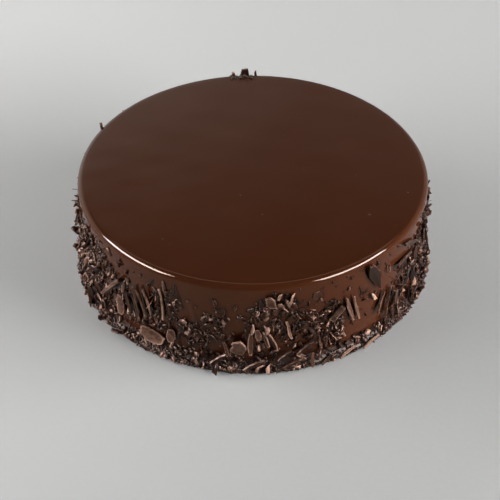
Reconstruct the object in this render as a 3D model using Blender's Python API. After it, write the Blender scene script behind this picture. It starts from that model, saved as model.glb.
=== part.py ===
"""Round chocolate cake under a poured mirror glaze, dark chocolate shavings pressed round its side.

Metres, +Z up, the foot of the cake on z = 0. Angles are in degrees round the cake from its
front, -Y, and grow towards +X. Heights and stand-off distances in the tables are millimetres.
"""

import math
from typing import NamedTuple

import bmesh
import bpy
import numpy as np

MM = 0.001
CAKE_RADIUS = 0.102
CAKE_HEIGHT = 0.0600
RIM_ROUNDING = 0.0034
RIM_STEPS = 4
SIDE_SEGMENTS = 80
SIDE_MID_HEIGHT = 0.030
FOOT_REACH = 0.0042
FOOT_LEVEL = 0.0012
FOOT_SHOULDER = (0.0015, 0.0038)
FOOT_TOP = 0.0065
WAVE_SIZE = 0.00022
WAVE_LOBES = (2, 3, 5)

OWN_GAP = 0.00045
SINK = 0.0007
FLOOR_GAP = 0.0004
FLAKE_THICKNESS = 0.0011
SIDE_FLAKES = 290
FOOT_CRUMBS = 124
SIDE_TOP_LIMIT = 0.0500
KEEP_AWAY = 0.0006
SEED = 4127
GOLDEN = 0.6180339887
PLASTIC = 0.7548776662


class Shaving(NamedTuple):
    """One hand-placed shaving: its two ends (angle, height, stand-off), width and form."""

    name: str
    form: str
    low: tuple
    high: tuple
    width: float
    turn: float = 0.0
    bow: float = 0.0


class Bare(NamedTuple):
    """A patch of open glaze: centre angle, half width, lowest and highest height."""

    angle: float
    half: float
    low: float
    high: float


OWN_SHAVINGS = (
    Shaving("roll_left", "roll", (-52.4, 22.4, 5.0), (-45.0, 40.0, 1.8), 3.1, 0, 0.2),
    Shaving("dagger_left_1", "shard", (-41.2, 20.4, 1.8), (-43.4, 34.0, 0.8), 3.2, -6, 0.3),
    Shaving("dagger_left_2", "shard", (-37.6, 17.3, 1.6), (-40.0, 38.8, 1.8), 4.0, -32, 0.4),
    Shaving("dagger_left_3", "shard", (-34.9, 22.6, 1.2), (-37.4, 41.4, 2.4), 3.9, -40, 0.4),
    Shaving("dagger_left_4", "shard", (-32.7, 27.0, 0.8), (-34.7, 43.8, 1.8), 3.3, -42, 0.4),
    Shaving("plate_left", "plate", (-46.2, 12.9, 1.8), (-45.8, 26.4, 0.8), 5.6, 6, 0.2),
    Shaving("plate_low_left", "plate", (-37.2, 11.2, 2.4), (-28.6, 9.8, 2.2), 8.2, -14, 0.3),
    Shaving("needle_left", "stick", (-28.4, 26.7, 1.2), (-29.1, 48.2, 0.8), 1.5, -30, 0.6),
    Shaving("plate_left_front", "plate", (-25.9, 12.0, 1.6), (-26.2, 20.8, 0.8), 4.9, 12, 0.2),
    Shaving("rod_front", "stick", (-12.9, 5.2, 4.6), (-8.2, 11.8, 2.6), 2.5, 15, 0.3),
    Shaving("plate_front", "disc", (-4.4, 11.8, 0.9), (-4.5, 23.2, 3.4), 9.0, 0, 0.5),
    Shaving("prong_front", "stick", (-7.5, 11.8, 3.4), (-9.0, 20.8, 2.2), 1.6, 20, 0.3),
    Shaving("upright_front", "shard", (-0.8, 11.8, 1.2), (-1.0, 28.4, 0.8), 3.1, 16, 0.4),
    Shaving("shield_front", "plate", (1.7, 22.5, 1.4), (1.2, 30.2, 0.8), 3.4, 10, 0.2),
    Shaving("blade_front_1", "shard", (4.8, 17.0, 1.2), (3.0, 28.2, 1.0), 2.0, -20, 0.4),
    Shaving("blade_front_2", "shard", (7.2, 15.0, 1.0), (4.6, 28.0, 2.0), 2.5, -35, 0.4),
    Shaving("plate_high_front", "plate", (6.0, 46.0, 0.8), (4.5, 53.4, 0.8), 4.9, -8, 0.2),
    Shaving("sliver_front", "stick", (11.4, 22.0, 1.2), (9.8, 35.5, 0.8), 1.8, 25, 0.4),
    Shaving("foot_long_1", "stick", (-2.8, 3.0, 4.6), (3.2, 9.0, 3.6), 2.4, 15, 0.5),
    Shaving("foot_long_2", "stick", (7.0, 8.4, 4.2), (11.6, 14.0, 2.6), 2.0, 15, 0.5),
    Shaving("foot_long_3", "stick", (13.4, 11.0, 3.0), (19.5, 17.5, 1.8), 2.8, 18, 0.5),
    Shaving("foot_long_4", "stick", (8.7, 4.2, 5.4), (15.8, 8.3, 4.4), 2.0, 10, 0.5),
    Shaving("ribbed_right", "ribbed", (24.1, 29.0, 1.0), (28.3, 35.8, 0.8), 5.0, 0, 0.0),
    Shaving("twin_right_1", "shard", (31.9, 23.0, 0.9), (29.1, 41.8, 0.9), 2.6, 25, 0.3),
    Shaving("twin_right_2", "shard", (34.2, 22.0, 0.9), (31.5, 41.0, 0.9), 2.2, 28, 0.3),
    Shaving("leaf_right", "leaf", (42.0, 37.0, 0.9), (37.4, 58.4, 1.6), 6.8, -12, 0.7),
    Shaving("slab_right_1", "shard", (41.9, 17.4, 1.8), (44.6, 31.0, 1.0), 3.4, 20, 0.3),
    Shaving("slab_right_2", "shard", (45.6, 10.6, 2.0), (47.9, 31.0, 1.0), 2.4, 34, 0.4),
    Shaving("slab_right_3", "plate", (50.4, 16.6, 2.4), (51.0, 24.4, 2.0), 5.2, 12, 0.2),
    Shaving("slab_right_4", "shard", (48.3, 6.5, 4.6), (49.8, 15.4, 1.0), 2.6, 30, 0.3),
    Shaving("slab_right_5", "shard", (51.4, 5.7, 4.6), (52.8, 14.6, 1.4), 2.2, 32, 0.3),
    Shaving("flat_right_1", "stick", (50.1, 42.6, 1.8), (58.6, 41.6, 0.9), 3.8, 10, 0.3),
    Shaving("flat_right_2", "shard", (54.0, 54.0, 1.4), (62.8, 45.6, 1.6), 3.2, 14, 0.3),
    Shaving("flat_right_3", "plate", (62.6, 32.4, 1.4), (63.0, 40.6, 1.0), 4.4, -10, 0.2),
    Shaving("chunk_right_high", "plate", (75.4, 23.6, 3.8), (74.8, 36.0, 1.6), 7.2, 18, 0.2),
    Shaving("chunk_right_low", "plate", (61.2, 17.8, 2.2), (61.9, 25.0, 1.4), 4.6, -16, 0.2),
    Shaving("pillar_right", "shard", (60.6, 1.6, 4.6), (61.8, 12.4, 2.0), 2.6, 25, 0.2),
    Shaving("chunk_left_high", "plate", (-82.0, 30.0, 3.4), (-82.6, 38.6, 1.2), 5.6, -18, 0.2),
    Shaving("chunk_left_low", "plate", (-65.0, 2.4, 5.6), (-63.6, 8.4, 2.8), 4.6, 16, 0.2),
    Shaving("foot_lump_left", "plate", (-47.8, 1.2, 7.2), (-44.6, 2.6, 6.8), 3.6, 66, 0.1),
    Shaving("foot_stick_1", "stick", (17.6, 1.4, 6.0), (18.0, 9.6, 3.4), 2.2, 25, 0.2),
    Shaving("foot_stick_2", "stick", (20.5, 1.4, 6.0), (24.8, 4.6, 3.6), 2.2, 15, 0.2),
    Shaving("foot_stick_3", "stick", (26.6, 1.6, 5.8), (32.6, 4.2, 3.8), 2.2, 15, 0.3),
    Shaving("foot_stick_4", "stick", (34.6, 1.6, 5.8), (41.8, 3.4, 4.2), 2.3, 15, 0.4),
    Shaving("rim_rear_block", "plate", (-177.6, 50.0, 0.8), (-177.2, 61.8, 2.2), 6.6, 0, 0.2),
)

PRESSED_SHAVINGS = (
    Shaving("curl_left", "shard", (-45.1, 30.2, 0.4), (-44.0, 39.6, 0), 2.0, 25),
    Shaving("needle_left_2", "stick", (-25.0, 28.9, 0), (-28.0, 41.0, 0), 1.3, -20),
    Shaving("needle_left_3", "stick", (-24.0, 29.2, 0), (-26.9, 40.2, 0), 1.2, 10),
    Shaving("needle_left_4", "stick", (-25.0, 46.0, 0), (-24.4, 55.4, 0), 1.2, -20),
    Shaving("needle_left_5", "stick", (-22.3, 41.0, 0), (-25.7, 47.0, 0), 1.2, 10),
    Shaving("needle_left_6", "stick", (-22.2, 37.6, 0), (-26.5, 43.0, 0), 1.2, 10),
    Shaving("needle_left_7", "stick", (-22.5, 43.6, 0), (-24.0, 52.6, 0), 1.2, 10),
    Shaving("leaf_left", "shard", (-27.6, 44.2, 0), (-28.1, 54.3, 0.4), 2.4, 20),
    Shaving("block_left_front", "plate", (-22.6, 18.0, 0), (-22.9, 25.9, 0), 3.4, -15),
    Shaving("stick_left_1", "stick", (-23.6, 12.6, 0), (-23.5, 20.6, 0), 1.3, 20),
    Shaving("stick_left_2", "stick", (-21.2, 21.6, 0), (-21.0, 27.4, 0), 1.3, -15),
    Shaving("disc_left_front", "plate", (-21.0, 12.6, 0.5), (-17.6, 16.0, 0.3), 3.4, -10),
    Shaving("stick_left_front", "stick", (-11.5, 27.9, 0), (-12.1, 36.7, 0), 2.2, 10),
    Shaving("ring_front", "plate", (-13.8, 33.4, 0), (-13.8, 38.6, 0), 3.8, 0),
    Shaving("plate_mid_front", "plate", (-16.9, 19.6, 0), (-17.1, 25.0, 0), 4.6, 12),
    Shaving("chip_front_1", "shard", (2.0, 8.2, 0.4), (2.8, 12.2, 0), 2.2, 10),
    Shaving("chip_front_2", "shard", (-11.9, 43.0, 0), (-8.4, 40.6, 0), 2.4, 0),
    Shaving("chip_front_3", "stick", (-5.7, 43.0, 0), (-5.0, 46.9, 0), 1.7, 0),
    Shaving("chip_front_4", "plate", (-3.9, 36.8, 0), (-2.1, 38.2, 0), 2.6, 0),
    Shaving("chip_front_5", "plate", (-1.7, 43.6, 0), (0.3, 44.2, 0), 2.4, 0),
    Shaving("chip_front_6", "stick", (-8.4, 33.2, 0), (-9.0, 38.6, 0), 1.7, 0),
    Shaving("shield_low_front", "plate", (2.9, 15.8, 0.8), (2.5, 20.2, 0), 3.0, -14),
    Shaving("block_high_front", "plate", (2.3, 43.8, 0), (2.3, 50.5, 0.2), 2.4, 14),
    Shaving("block_high_front_2", "plate", (8.0, 50.6, 0), (8.3, 54.4, 0), 2.8, 0),
    Shaving("block_high_front_3", "shard", (10.4, 47.6, 0), (9.7, 53.0, 0), 2.6, 0),
    Shaving("stick_front_2", "stick", (10.0, 24.4, 0), (9.0, 33.2, 0), 1.4, 0),
    Shaving("stick_front_3", "stick", (17.9, 24.7, 0), (15.6, 30.2, 0), 1.7, 0),
    Shaving("stick_front_4", "stick", (12.0, 43.2, 0), (12.1, 49.6, 0), 1.6, 0),
    Shaving("stick_low_1", "stick", (21.3, 8.9, 1.0), (20.6, 18.3, 0), 1.9, 15),
    Shaving("stick_low_2", "stick", (23.4, 8.7, 1.0), (22.2, 18.2, 0), 1.9, -15),
    Shaving("stick_low_3", "stick", (29.6, 11.6, 0.6), (26.9, 21.4, 0), 2.2, 10),
    Shaving("plate_high_right", "plate", (20.2, 45.6, 0), (19.2, 51.6, 0), 6.6, 0),
    Shaving("bit_right_1", "stick", (42.6, 50.4, 0), (41.2, 56.8, 0), 1.7, 0),
    Shaving("bit_right_2", "stick", (35.9, 36.4, 0), (34.7, 42.4, 0), 1.3, 0),
    Shaving("bit_right_3", "stick", (37.0, 36.8, 0), (38.0, 39.4, 0), 1.2, 0),
    Shaving("rim_rear_side", "shard", (-173.8, 51.0, 0), (-173.2, 61.2, 0.9), 3.2, 20),
    Shaving("rim_rear_stick", "stick", (178.2, 51.5, 0), (178.8, 61.6, 0.9), 1.9, -20),
    Shaving("sliver_rear_left", "stick", (-116.4, 51.6, 0), (-115.6, 62.4, 0.6), 1.8, 10),
    Shaving("spur_left", "stick", (-80.6, 12.0, 4.2), (-80.2, 15.0, 0), 2.0, 10),
    Shaving("spur_right", "stick", (84.0, 36.4, 3.0), (85.0, 41.4, 0), 2.4, 10),
)

BARE_GLAZE = (
    Bare(-66.0, 8.0, 6.0, 15.0),
    Bare(-42.0, 5.0, 6.0, 14.5),
    Bare(-42.5, 9.0, 46.0, 60.0),
    Bare(-21.0, 2.8, 31.0, 60.0),
    Bare(-16.0, 3.4, 39.0, 60.0),
    Bare(-5.0, 3.6, 24.0, 60.0),
    Bare(-19.5, 4.0, 8.0, 13.0),
    Bare(6.4, 3.6, 13.0, 20.0),
    Bare(26.4, 4.4, 42.0, 60.0),
    Bare(38.0, 9.5, 7.0, 33.0),
    Bare(33.0, 4.0, 44.0, 60.0),
    Bare(40.0, 4.0, 33.0, 60.0),
    Bare(46.5, 4.6, 33.0, 60.0),
    Bare(56.0, 4.0, 8.0, 14.0),
)
REAR_BARE_COUNT = 9
REAR_BARE_ARC = (98.0, 262.0)
REAR_SHAVINGS = 11
REAR_ARC = (100.0, 260.0)
REAR_WIDTHS = {"shard": 4.0, "plate": 6.5, "stick": 2.2}
FLAKE_SIZES = {"stick": (9.2, 1.7), "shard": (7.4, 2.9), "plate": (5.6, 4.0)}
FLAKE_FORMS = ("stick", "shard", "shard", "plate")
FLAKE_LEAN = 38.0
FLAKE_TURN = 26.0
FLAKE_FOOT = 0.006
CRUMB_SIZE = (0.0012, 0.0024)
CRUMB_OUT = (-0.0014, 0.0012)

WIDTH_PROFILES = {
    "shard": (0.50, 0.98, 0.88, 0.30),
    "stick": (0.72, 1.00, 0.92, 0.58),
    "plate": (0.62, 1.00, 0.96, 0.66),
    "disc": (0.46, 0.90, 1.00, 0.90, 0.52),
    "leaf": (0.10, 0.62, 1.00, 0.86, 0.26),
    "roll": (0.86, 1.00, 0.94),
    "ribbed": (1.00, 0.94),
}
PRESSED_PROFILE = (0.55, 1.00, 0.40)
ROLL_SWEEP = math.radians(305)
ROLL_STEPS = 7
ROLL_WALL = 0.30
RIB_COUNT = 4
RIB_DEPTH = 0.55

GLAZE_COLOUR = (0.045, 0.013, 0.006, 1.0)
SHAVING_COLOUR = (0.034, 0.016, 0.011, 1.0)
GLAZE_ROUGHNESS = 0.12
SHAVING_ROUGHNESS = 0.55


def clear_scene():
    """Removes everything the scene starts with."""
    for obj in list(bpy.data.objects):
        bpy.data.objects.remove(obj, do_unlink=True)


def material(name, colour, roughness):
    """A Principled material of one colour and roughness, not metallic."""
    made = bpy.data.materials.new(name)
    made.use_nodes = True
    shader = made.node_tree.nodes["Principled BSDF"]
    shader.inputs["Base Color"].default_value = colour
    shader.inputs["Roughness"].default_value = roughness
    shader.inputs["Metallic"].default_value = 0.0
    return made


def wave(angle, height):
    """Slow unevenness of the poured side, in metres, angle in radians."""
    total = np.zeros(np.broadcast(angle, height).shape)
    for index, lobes in enumerate(WAVE_LOBES):
        phase = 1.7 * index + 0.6
        total = total + np.sin(lobes * angle + phase + 40.0 * height * (index - 1)) / (index + 1)
    return WAVE_SIZE * total


def side_profile():
    """(radius, height) rows of the turned body, from the edge of its foot up to its top."""
    rows = [
        (CAKE_RADIUS + FOOT_REACH, 0.0),
        (CAKE_RADIUS + FOOT_REACH, FOOT_LEVEL),
        (CAKE_RADIUS + FOOT_SHOULDER[0], FOOT_SHOULDER[1]),
        (CAKE_RADIUS, FOOT_TOP),
        (CAKE_RADIUS, SIDE_MID_HEIGHT),
    ]
    centre = (CAKE_RADIUS - RIM_ROUNDING, CAKE_HEIGHT - RIM_ROUNDING)
    for turn in np.linspace(0.0, math.pi / 2, RIM_STEPS):
        reach = centre[0] + RIM_ROUNDING * math.cos(turn)
        rows.append((reach, centre[1] + RIM_ROUNDING * math.sin(turn)))
    return np.array(rows)


def glaze_radius(angle, height):
    """Radius of the side at an angle in radians and a height, its foot and rim included."""
    rows = side_profile()
    return np.interp(height, rows[:, 1], rows[:, 0]) + wave(angle, height)


def surface_point(angle, height, out):
    """Point standing out from the upright side by out metres, the spread foot not counted."""
    reach = CAKE_RADIUS + float(wave(angle, height)) + out
    return np.array([reach * math.sin(angle), -reach * math.cos(angle), height])


def loft(rings):
    """Vertices and faces of the closed tube through rings, shaped (stations, points, 3)."""
    stations, points = rings.shape[:2]
    faces = []
    for row in range(stations - 1):
        for column in range(points):
            after = (column + 1) % points
            first = row * points
            second = first + points
            faces.append((first + column, first + after, second + after, second + column))
    faces.append(tuple(range(points - 1, -1, -1)))
    faces.append(tuple(range((stations - 1) * points, stations * points)))
    return rings.reshape(-1, 3), faces


def flat_section(width, thickness, cup):
    """Six-point section of a flake, its middle lifted outwards by cup."""
    half = width / 2
    rise = thickness / 2
    return np.array(
        [(-half, -rise), (0.0, cup - rise), (half, -rise), (half, rise), (0.0, cup + rise), (-half, rise)]
    )


def stick_section(width, thickness):
    """Four-point section of a narrow shaving."""
    half = width / 2
    rise = thickness / 2
    return np.array([(-half, -rise), (half, -rise), (half, rise), (-half, rise)])


def roll_section(width):
    """Section of a rolled shaving: an open ring whose wall is ROLL_WALL of its radius."""
    turns = np.linspace(-ROLL_SWEEP / 2, ROLL_SWEEP / 2, ROLL_STEPS + 1) + math.pi / 2
    outer = width / 2
    inner = outer * (1 - ROLL_WALL)
    ring = np.stack([np.cos(turns), np.sin(turns)], axis=1)
    return np.concatenate([ring * outer, ring[::-1] * inner])


def ribbed_section(width, thickness):
    """Section of a grated shaving: flat inside, RIB_COUNT ridges outside."""
    half = width / 2
    across = np.linspace(half, -half, 2 * RIB_COUNT + 1)
    ridge = thickness * (0.5 + RIB_DEPTH * (np.arange(2 * RIB_COUNT + 1) % 2))
    outside = np.stack([across, ridge], axis=1)
    inside = np.array([(-half, -thickness / 2), (half, -thickness / 2)])
    return np.concatenate([inside, outside])


def section_of(form, width, thickness, cup):
    """The section of a shaving of one form, as (across, outwards) points."""
    if form == "roll":
        return roll_section(width)
    if form == "ribbed":
        return ribbed_section(width, thickness)
    if form == "stick":
        return stick_section(width, thickness)
    return flat_section(width, thickness, cup)


def shaving_rings(form, length, width, thickness, bow, profile, draw):
    """Rings of one shaving in its own frame: across, outwards, along."""
    steps = np.linspace(-0.5, 0.5, len(profile))
    cup = 0.05 * width * draw.uniform(-1.0, 1.0)
    rings = []
    for step, share in zip(steps, profile):
        reach = width * share * draw.uniform(0.88, 1.1)
        section = section_of(form, reach, thickness, cup)
        drift = width * 0.09 * draw.uniform(-1.0, 1.0)
        slant = draw.uniform(-0.32, 0.32) if abs(step) == 0.5 else 0.0
        along = step * length + slant * section[:, 0]
        outward = section[:, 1] + bow * (2 * step) ** 2
        rings.append(np.stack([section[:, 0] + drift, outward, along], axis=1))
    return np.array(rings)


def placed(rings, low, high, turn):
    """Turns rings from a shaving's own frame to the cake, between its two end points."""
    middle = (low + high) / 2
    along = (high - low) / np.linalg.norm(high - low)
    out = np.array([middle[0], middle[1], 0.0]) / math.hypot(middle[0], middle[1])
    out = out - along * (out @ along)
    out = out / np.linalg.norm(out)
    across = np.cross(out, along)
    cosine = math.cos(turn)
    sine = math.sin(turn)
    side = across * cosine + out * sine
    face = out * cosine - across * sine
    return middle + rings[..., 0:1] * side + rings[..., 1:2] * face + rings[..., 2:3] * along


def samples(rings):
    """Points spread over a shaving, for measuring how far it is from something else."""
    closed = np.concatenate([rings, rings[:, :1]], axis=1)
    across = [closed[:, :-1] * (1 - share) + closed[:, 1:] * share for share in (0.0, 0.33, 0.67)]
    rows = np.concatenate(across, axis=1)
    along = [rows[:-1] * (1 - share) + rows[1:] * share for share in (0.0, 0.25, 0.5, 0.75)]
    return np.concatenate(along + [rows[-1:]], axis=0).reshape(-1, 3)


def seated(rings, gap):
    """Moves a shaving in or out, and up off the floor, so that its nearest point is at gap."""
    points = samples(rings)
    angle = np.arctan2(points[:, 0], -points[:, 1])
    height = np.clip(points[:, 2], 0.0, CAKE_HEIGHT)
    near = (np.hypot(points[:, 0], points[:, 1]) - glaze_radius(angle, height)).min()
    middle = points.mean(axis=0)
    out = np.array([middle[0], middle[1], 0.0]) / math.hypot(middle[0], middle[1])
    shift = out * (gap - near) if gap < 0 or near < gap else np.zeros(3)
    lift = max(0.0, FLOOR_GAP - points[:, 2].min())
    return rings + shift + np.array([0.0, 0.0, lift])


def shaving_at(row, draw, gap, pressed=False):
    """Rings of one shaving, seated on the side; a pressed one has fewer faces."""
    ends = [surface_point(math.radians(a), z * MM, out * MM) for a, z, out in (row.low, row.high)]
    length = np.linalg.norm(ends[1] - ends[0])
    thickness = FLAKE_THICKNESS if row.form != "stick" else min(FLAKE_THICKNESS, 0.7 * row.width * MM)
    form = "stick" if pressed else row.form
    profile = PRESSED_PROFILE if pressed else WIDTH_PROFILES[form]
    rings = shaving_rings(form, length, row.width * MM, thickness, row.bow * MM, profile, draw)
    return seated(placed(rings, ends[0], ends[1], math.radians(row.turn)), gap)


def rear_shavings(draw):
    """Large shavings on the half of the side that faces away, spread evenly with jitter."""
    rows = []
    for index in range(REAR_SHAVINGS):
        angle = REAR_ARC[0] + (index + draw.uniform(0.25, 0.75)) * np.ptp(REAR_ARC) / REAR_SHAVINGS
        low = draw.uniform(6.0, 30.0)
        span = draw.uniform(9.0, 16.0)
        lean = draw.uniform(-3.0, 3.0)
        form = tuple(REAR_WIDTHS)[int(draw.integers(3))]
        width = REAR_WIDTHS[form] * draw.uniform(0.85, 1.15)
        ends = (angle, low, draw.uniform(0.8, 3.0)), (angle + lean, low + span, 0.8)
        turn = draw.uniform(-28.0, 28.0)
        rows.append(Shaving(f"rear_{form}_{index + 1}", form, *ends, width, turn, 0.3))
    return rows


def rear_bare(draw):
    """Open patches on the half of the side that faces away."""
    patches = []
    for index in range(REAR_BARE_COUNT):
        step = np.ptp(REAR_BARE_ARC) / REAR_BARE_COUNT
        angle = REAR_BARE_ARC[0] + (index + draw.uniform(0.2, 0.8)) * step
        patches.append(Bare(angle, draw.uniform(3.0, 7.0), draw.uniform(26.0, 42.0), 60.0))
    return patches


def is_bare(angle, height, patches):
    """Whether a spot lies in a patch of open glaze: angle in degrees, height in metres."""
    for patch in patches:
        apart = abs((angle - patch.angle + 180.0) % 360.0 - 180.0)
        if apart < patch.half and patch.low * MM < height < patch.high * MM:
            return True
    return False


def side_flake(index, draw):
    """(angle, height, row) of one seeded flake: even spots, sizes from large to small."""
    angle = (index * GOLDEN * 360.0 + draw.uniform(-2.0, 2.0)) % 360.0
    share = (index * PLASTIC + draw.uniform(0.0, 0.1)) % 1.0
    height = FLAKE_FOOT + (SIDE_TOP_LIMIT - FLAKE_FOOT) * share**1.25
    size = 1.0 - 0.55 * index / SIDE_FLAKES
    form = FLAKE_FORMS[int(draw.integers(4))]
    long = FLAKE_SIZES[form][0] * size * draw.uniform(0.7, 1.25)
    wide = FLAKE_SIZES[form][1] * (0.55 + 0.45 * size)
    lean = draw.normal(0.0, FLAKE_LEAN)
    stand = max(0.0, draw.normal(0.3, 0.9)) * size
    reach = long / 2 * math.sin(math.radians(lean)) / (CAKE_RADIUS / MM)
    rise = long / 2 * math.cos(math.radians(lean))
    low = (angle - math.degrees(reach), height / MM - rise, stand)
    high = (angle + math.degrees(reach), height / MM + rise, 0.0)
    return angle, height, Shaving("flake", form, low, high, wide, draw.normal(0.0, FLAKE_TURN), 0.2)


def crumb(index, draw):
    """Vertices and faces of one rough lump of the foot, an octahedron with moved corners."""
    angle = 2 * math.pi * (index + draw.uniform(0.2, 0.8)) / FOOT_CRUMBS
    out = draw.uniform(*CRUMB_OUT)
    height = max(0.0010, 0.0012 + abs(draw.normal(0.0, 0.0018)))
    size = draw.uniform(*CRUMB_SIZE)
    reach = float(glaze_radius(angle, height)) + out
    middle = np.array([reach * math.sin(angle), -reach * math.cos(angle), height])
    corners = np.array([(1, 0, 0), (0, 1, 0), (-1, 0, 0), (0, -1, 0), (0, 0, 1), (0, 0, -1)], float)
    corners = corners * size * draw.uniform(0.7, 1.45, (6, 1)) + draw.uniform(-0.3, 0.3, (6, 3)) * size
    turn = draw.uniform(0.0, math.pi)
    spin = np.array([(math.cos(turn), -math.sin(turn), 0), (math.sin(turn), math.cos(turn), 0), (0, 0, 1)])
    points = corners @ spin.T + middle
    points[:, 2] = np.maximum(points[:, 2], FLOOR_GAP)
    faces = [(a, (a + 1) % 4, 4) for a in range(4)] + [((a + 1) % 4, a, 5) for a in range(4)]
    return points, faces


def mesh_object(name, points, faces, finish):
    """A mesh object whose faces all point outwards."""
    mesh = bpy.data.meshes.new(name)
    mesh.from_pydata([tuple(point) for point in points], [], faces)
    made = bmesh.new()
    made.from_mesh(mesh)
    bmesh.ops.recalc_face_normals(made, faces=made.faces)
    if made.calc_volume(signed=True) < 0:
        bmesh.ops.reverse_faces(made, faces=made.faces)
    made.to_mesh(mesh)
    made.free()
    mesh.materials.append(finish)
    obj = bpy.data.objects.new(name, mesh)
    bpy.context.scene.collection.objects.link(obj)
    return obj


def cake_body(finish):
    """The turned, slightly uneven body: a rounded rim above, a low spread foot below."""
    rows = side_profile()
    turns = np.linspace(0.0, 2 * math.pi, SIDE_SEGMENTS, endpoint=False)
    angle, row = np.meshgrid(turns, np.arange(len(rows)))
    height = rows[row, 1]
    reach = rows[row, 0] + wave(angle, height)
    points = np.stack([reach * np.sin(angle), -reach * np.cos(angle), height], axis=-1)
    points = points.reshape(-1, 3)
    faces = []
    for level in range(len(rows) - 1):
        for column in range(SIDE_SEGMENTS):
            after = (column + 1) % SIDE_SEGMENTS
            first = level * SIDE_SEGMENTS
            second = first + SIDE_SEGMENTS
            faces.append((first + column, first + after, second + after, second + column))
    faces.append(tuple(range(SIDE_SEGMENTS - 1, -1, -1)))
    top = (len(rows) - 1) * SIDE_SEGMENTS
    faces.append(tuple(range(top, top + SIDE_SEGMENTS)))
    body = mesh_object("glazed_cake", points, faces, finish)
    for polygon in body.data.polygons:
        polygon.use_smooth = abs(polygon.normal.z) < 0.99
    return body


def pressed_flakes(body_flakes, own_points, patches, draw):
    """Adds every fused flake and crumb to the collection, skipping those too near an own one."""
    shapes = []
    for row in PRESSED_SHAVINGS:
        shapes.append(loft_if_clear(shaving_at(row, draw, -SINK, pressed=True), own_points))
    for index in range(SIDE_FLAKES):
        angle, height, row = side_flake(index, draw)
        rings = shaving_at(row, draw, -SINK, pressed=True)
        if not is_bare(angle, height, patches):
            shapes.append(loft_if_clear(rings, own_points))
    for index in range(FOOT_CRUMBS):
        points, faces = crumb(index, draw)
        apart = np.linalg.norm(points.mean(axis=0) - own_points, axis=1).min()
        if apart > KEEP_AWAY + np.linalg.norm(points - points.mean(axis=0), axis=1).max():
            shapes.append((points, faces))
    for number, shape in enumerate(shape for shape in shapes if shape):
        flake = mesh_object(f"pressed_{number}", *shape, None)
        bpy.context.scene.collection.objects.unlink(flake)
        body_flakes.objects.link(flake)


def loft_if_clear(rings, own_points):
    """The loft of rings, or nothing where it would come too near an own shaving."""
    points = samples(rings)
    apart = np.linalg.norm(points[:, None] - own_points[None], axis=2).min()
    return loft(rings) if apart > KEEP_AWAY else None


def fuse(body, flakes):
    """Joins the flakes to the body by one Boolean union, then drops loose scraps and hollows."""
    union = body.modifiers.new("pressed", "BOOLEAN")
    union.operation = "UNION"
    union.operand_type = "COLLECTION"
    union.collection = flakes
    union.solver = "EXACT"
    graph = bpy.context.evaluated_depsgraph_get()
    joined = bpy.data.meshes.new_from_object(body.evaluated_get(graph))
    body.modifiers.clear()
    body.data = joined
    for flake in list(flakes.objects):
        bpy.data.objects.remove(flake, do_unlink=True)
    bpy.data.collections.remove(flakes)
    keep_largest_shell(joined)


def keep_largest_shell(mesh):
    """Deletes every shell of the mesh except the one with the most faces."""
    made = bmesh.new()
    made.from_mesh(mesh)
    left = set(made.faces)
    shells = []
    while left:
        front = [left.pop()]
        shell = []
        while front:
            face = front.pop()
            shell.append(face)
            near = {other for edge in face.edges for other in edge.link_faces} & left
            left -= near
            front.extend(near)
        shells.append(shell)
    shells.sort(key=len)
    scraps = [face for shell in shells[:-1] for face in shell]
    bmesh.ops.delete(made, geom=scraps, context="FACES")
    bmesh.ops.triangulate(made, faces=made.faces)
    bmesh.ops.remove_doubles(made, verts=made.verts, dist=2e-6)
    made.to_mesh(mesh)
    made.free()


def main():
    """Builds the body, the large shavings and the fused small ones."""
    clear_scene()
    glaze = material("poured_glaze", GLAZE_COLOUR, GLAZE_ROUGHNESS)
    chocolate = material("shaved_dark_chocolate", SHAVING_COLOUR, SHAVING_ROUGHNESS)
    draw = np.random.default_rng(SEED)
    patches = list(BARE_GLAZE) + rear_bare(draw)
    own_points = []
    for row in list(OWN_SHAVINGS) + rear_shavings(draw):
        rings = shaving_at(row, draw, OWN_GAP)
        mesh_object(row.name, *loft(rings), chocolate)
        own_points.append(samples(rings))
    body = cake_body(glaze)
    flakes = bpy.data.collections.new("pressed_flakes")
    bpy.context.scene.collection.children.link(flakes)
    pressed_flakes(flakes, np.concatenate(own_points), patches, draw)
    fuse(body, flakes)


main()
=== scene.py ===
"""Round chocolate cake under a poured glaze, its side coated with dark chocolate shavings.

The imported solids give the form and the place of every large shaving. This script lays the
poured glaze over the body, cuts each shaving again with grain and broken edges, adds the
fine shavings and crumbs between them, and sets up a plain studio.
"""

import logging
import math
from dataclasses import dataclass, field
from enum import Enum
from typing import Any, NamedTuple, Sequence

import bpy
import numpy as np
from mathutils import Matrix, Vector, kdtree
from numpy.typing import NDArray


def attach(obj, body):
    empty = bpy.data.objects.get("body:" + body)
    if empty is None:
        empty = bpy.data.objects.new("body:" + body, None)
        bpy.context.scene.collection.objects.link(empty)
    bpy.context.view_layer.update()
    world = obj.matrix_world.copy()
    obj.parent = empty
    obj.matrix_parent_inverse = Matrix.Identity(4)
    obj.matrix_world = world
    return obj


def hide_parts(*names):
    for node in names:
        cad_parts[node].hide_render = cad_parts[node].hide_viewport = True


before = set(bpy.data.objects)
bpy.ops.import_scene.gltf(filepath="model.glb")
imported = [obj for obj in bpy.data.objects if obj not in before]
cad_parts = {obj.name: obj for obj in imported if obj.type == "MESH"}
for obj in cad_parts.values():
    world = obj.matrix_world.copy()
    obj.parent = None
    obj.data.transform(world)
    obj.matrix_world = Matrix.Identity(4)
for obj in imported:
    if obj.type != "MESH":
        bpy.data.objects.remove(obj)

Array = NDArray[np.float64]
MM = 0.001
LOOK_SEED = 907
TINY = 1e-9
# Painted shade on the shavings: the tone's factor where sunk in the coat, what is added with stand-off, and
# the stand-off at which all of it is added.
TONE_SUNK = 0.35
TONE_GAIN = 0.75
TONE_REACH = 2.4 * MM
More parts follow.
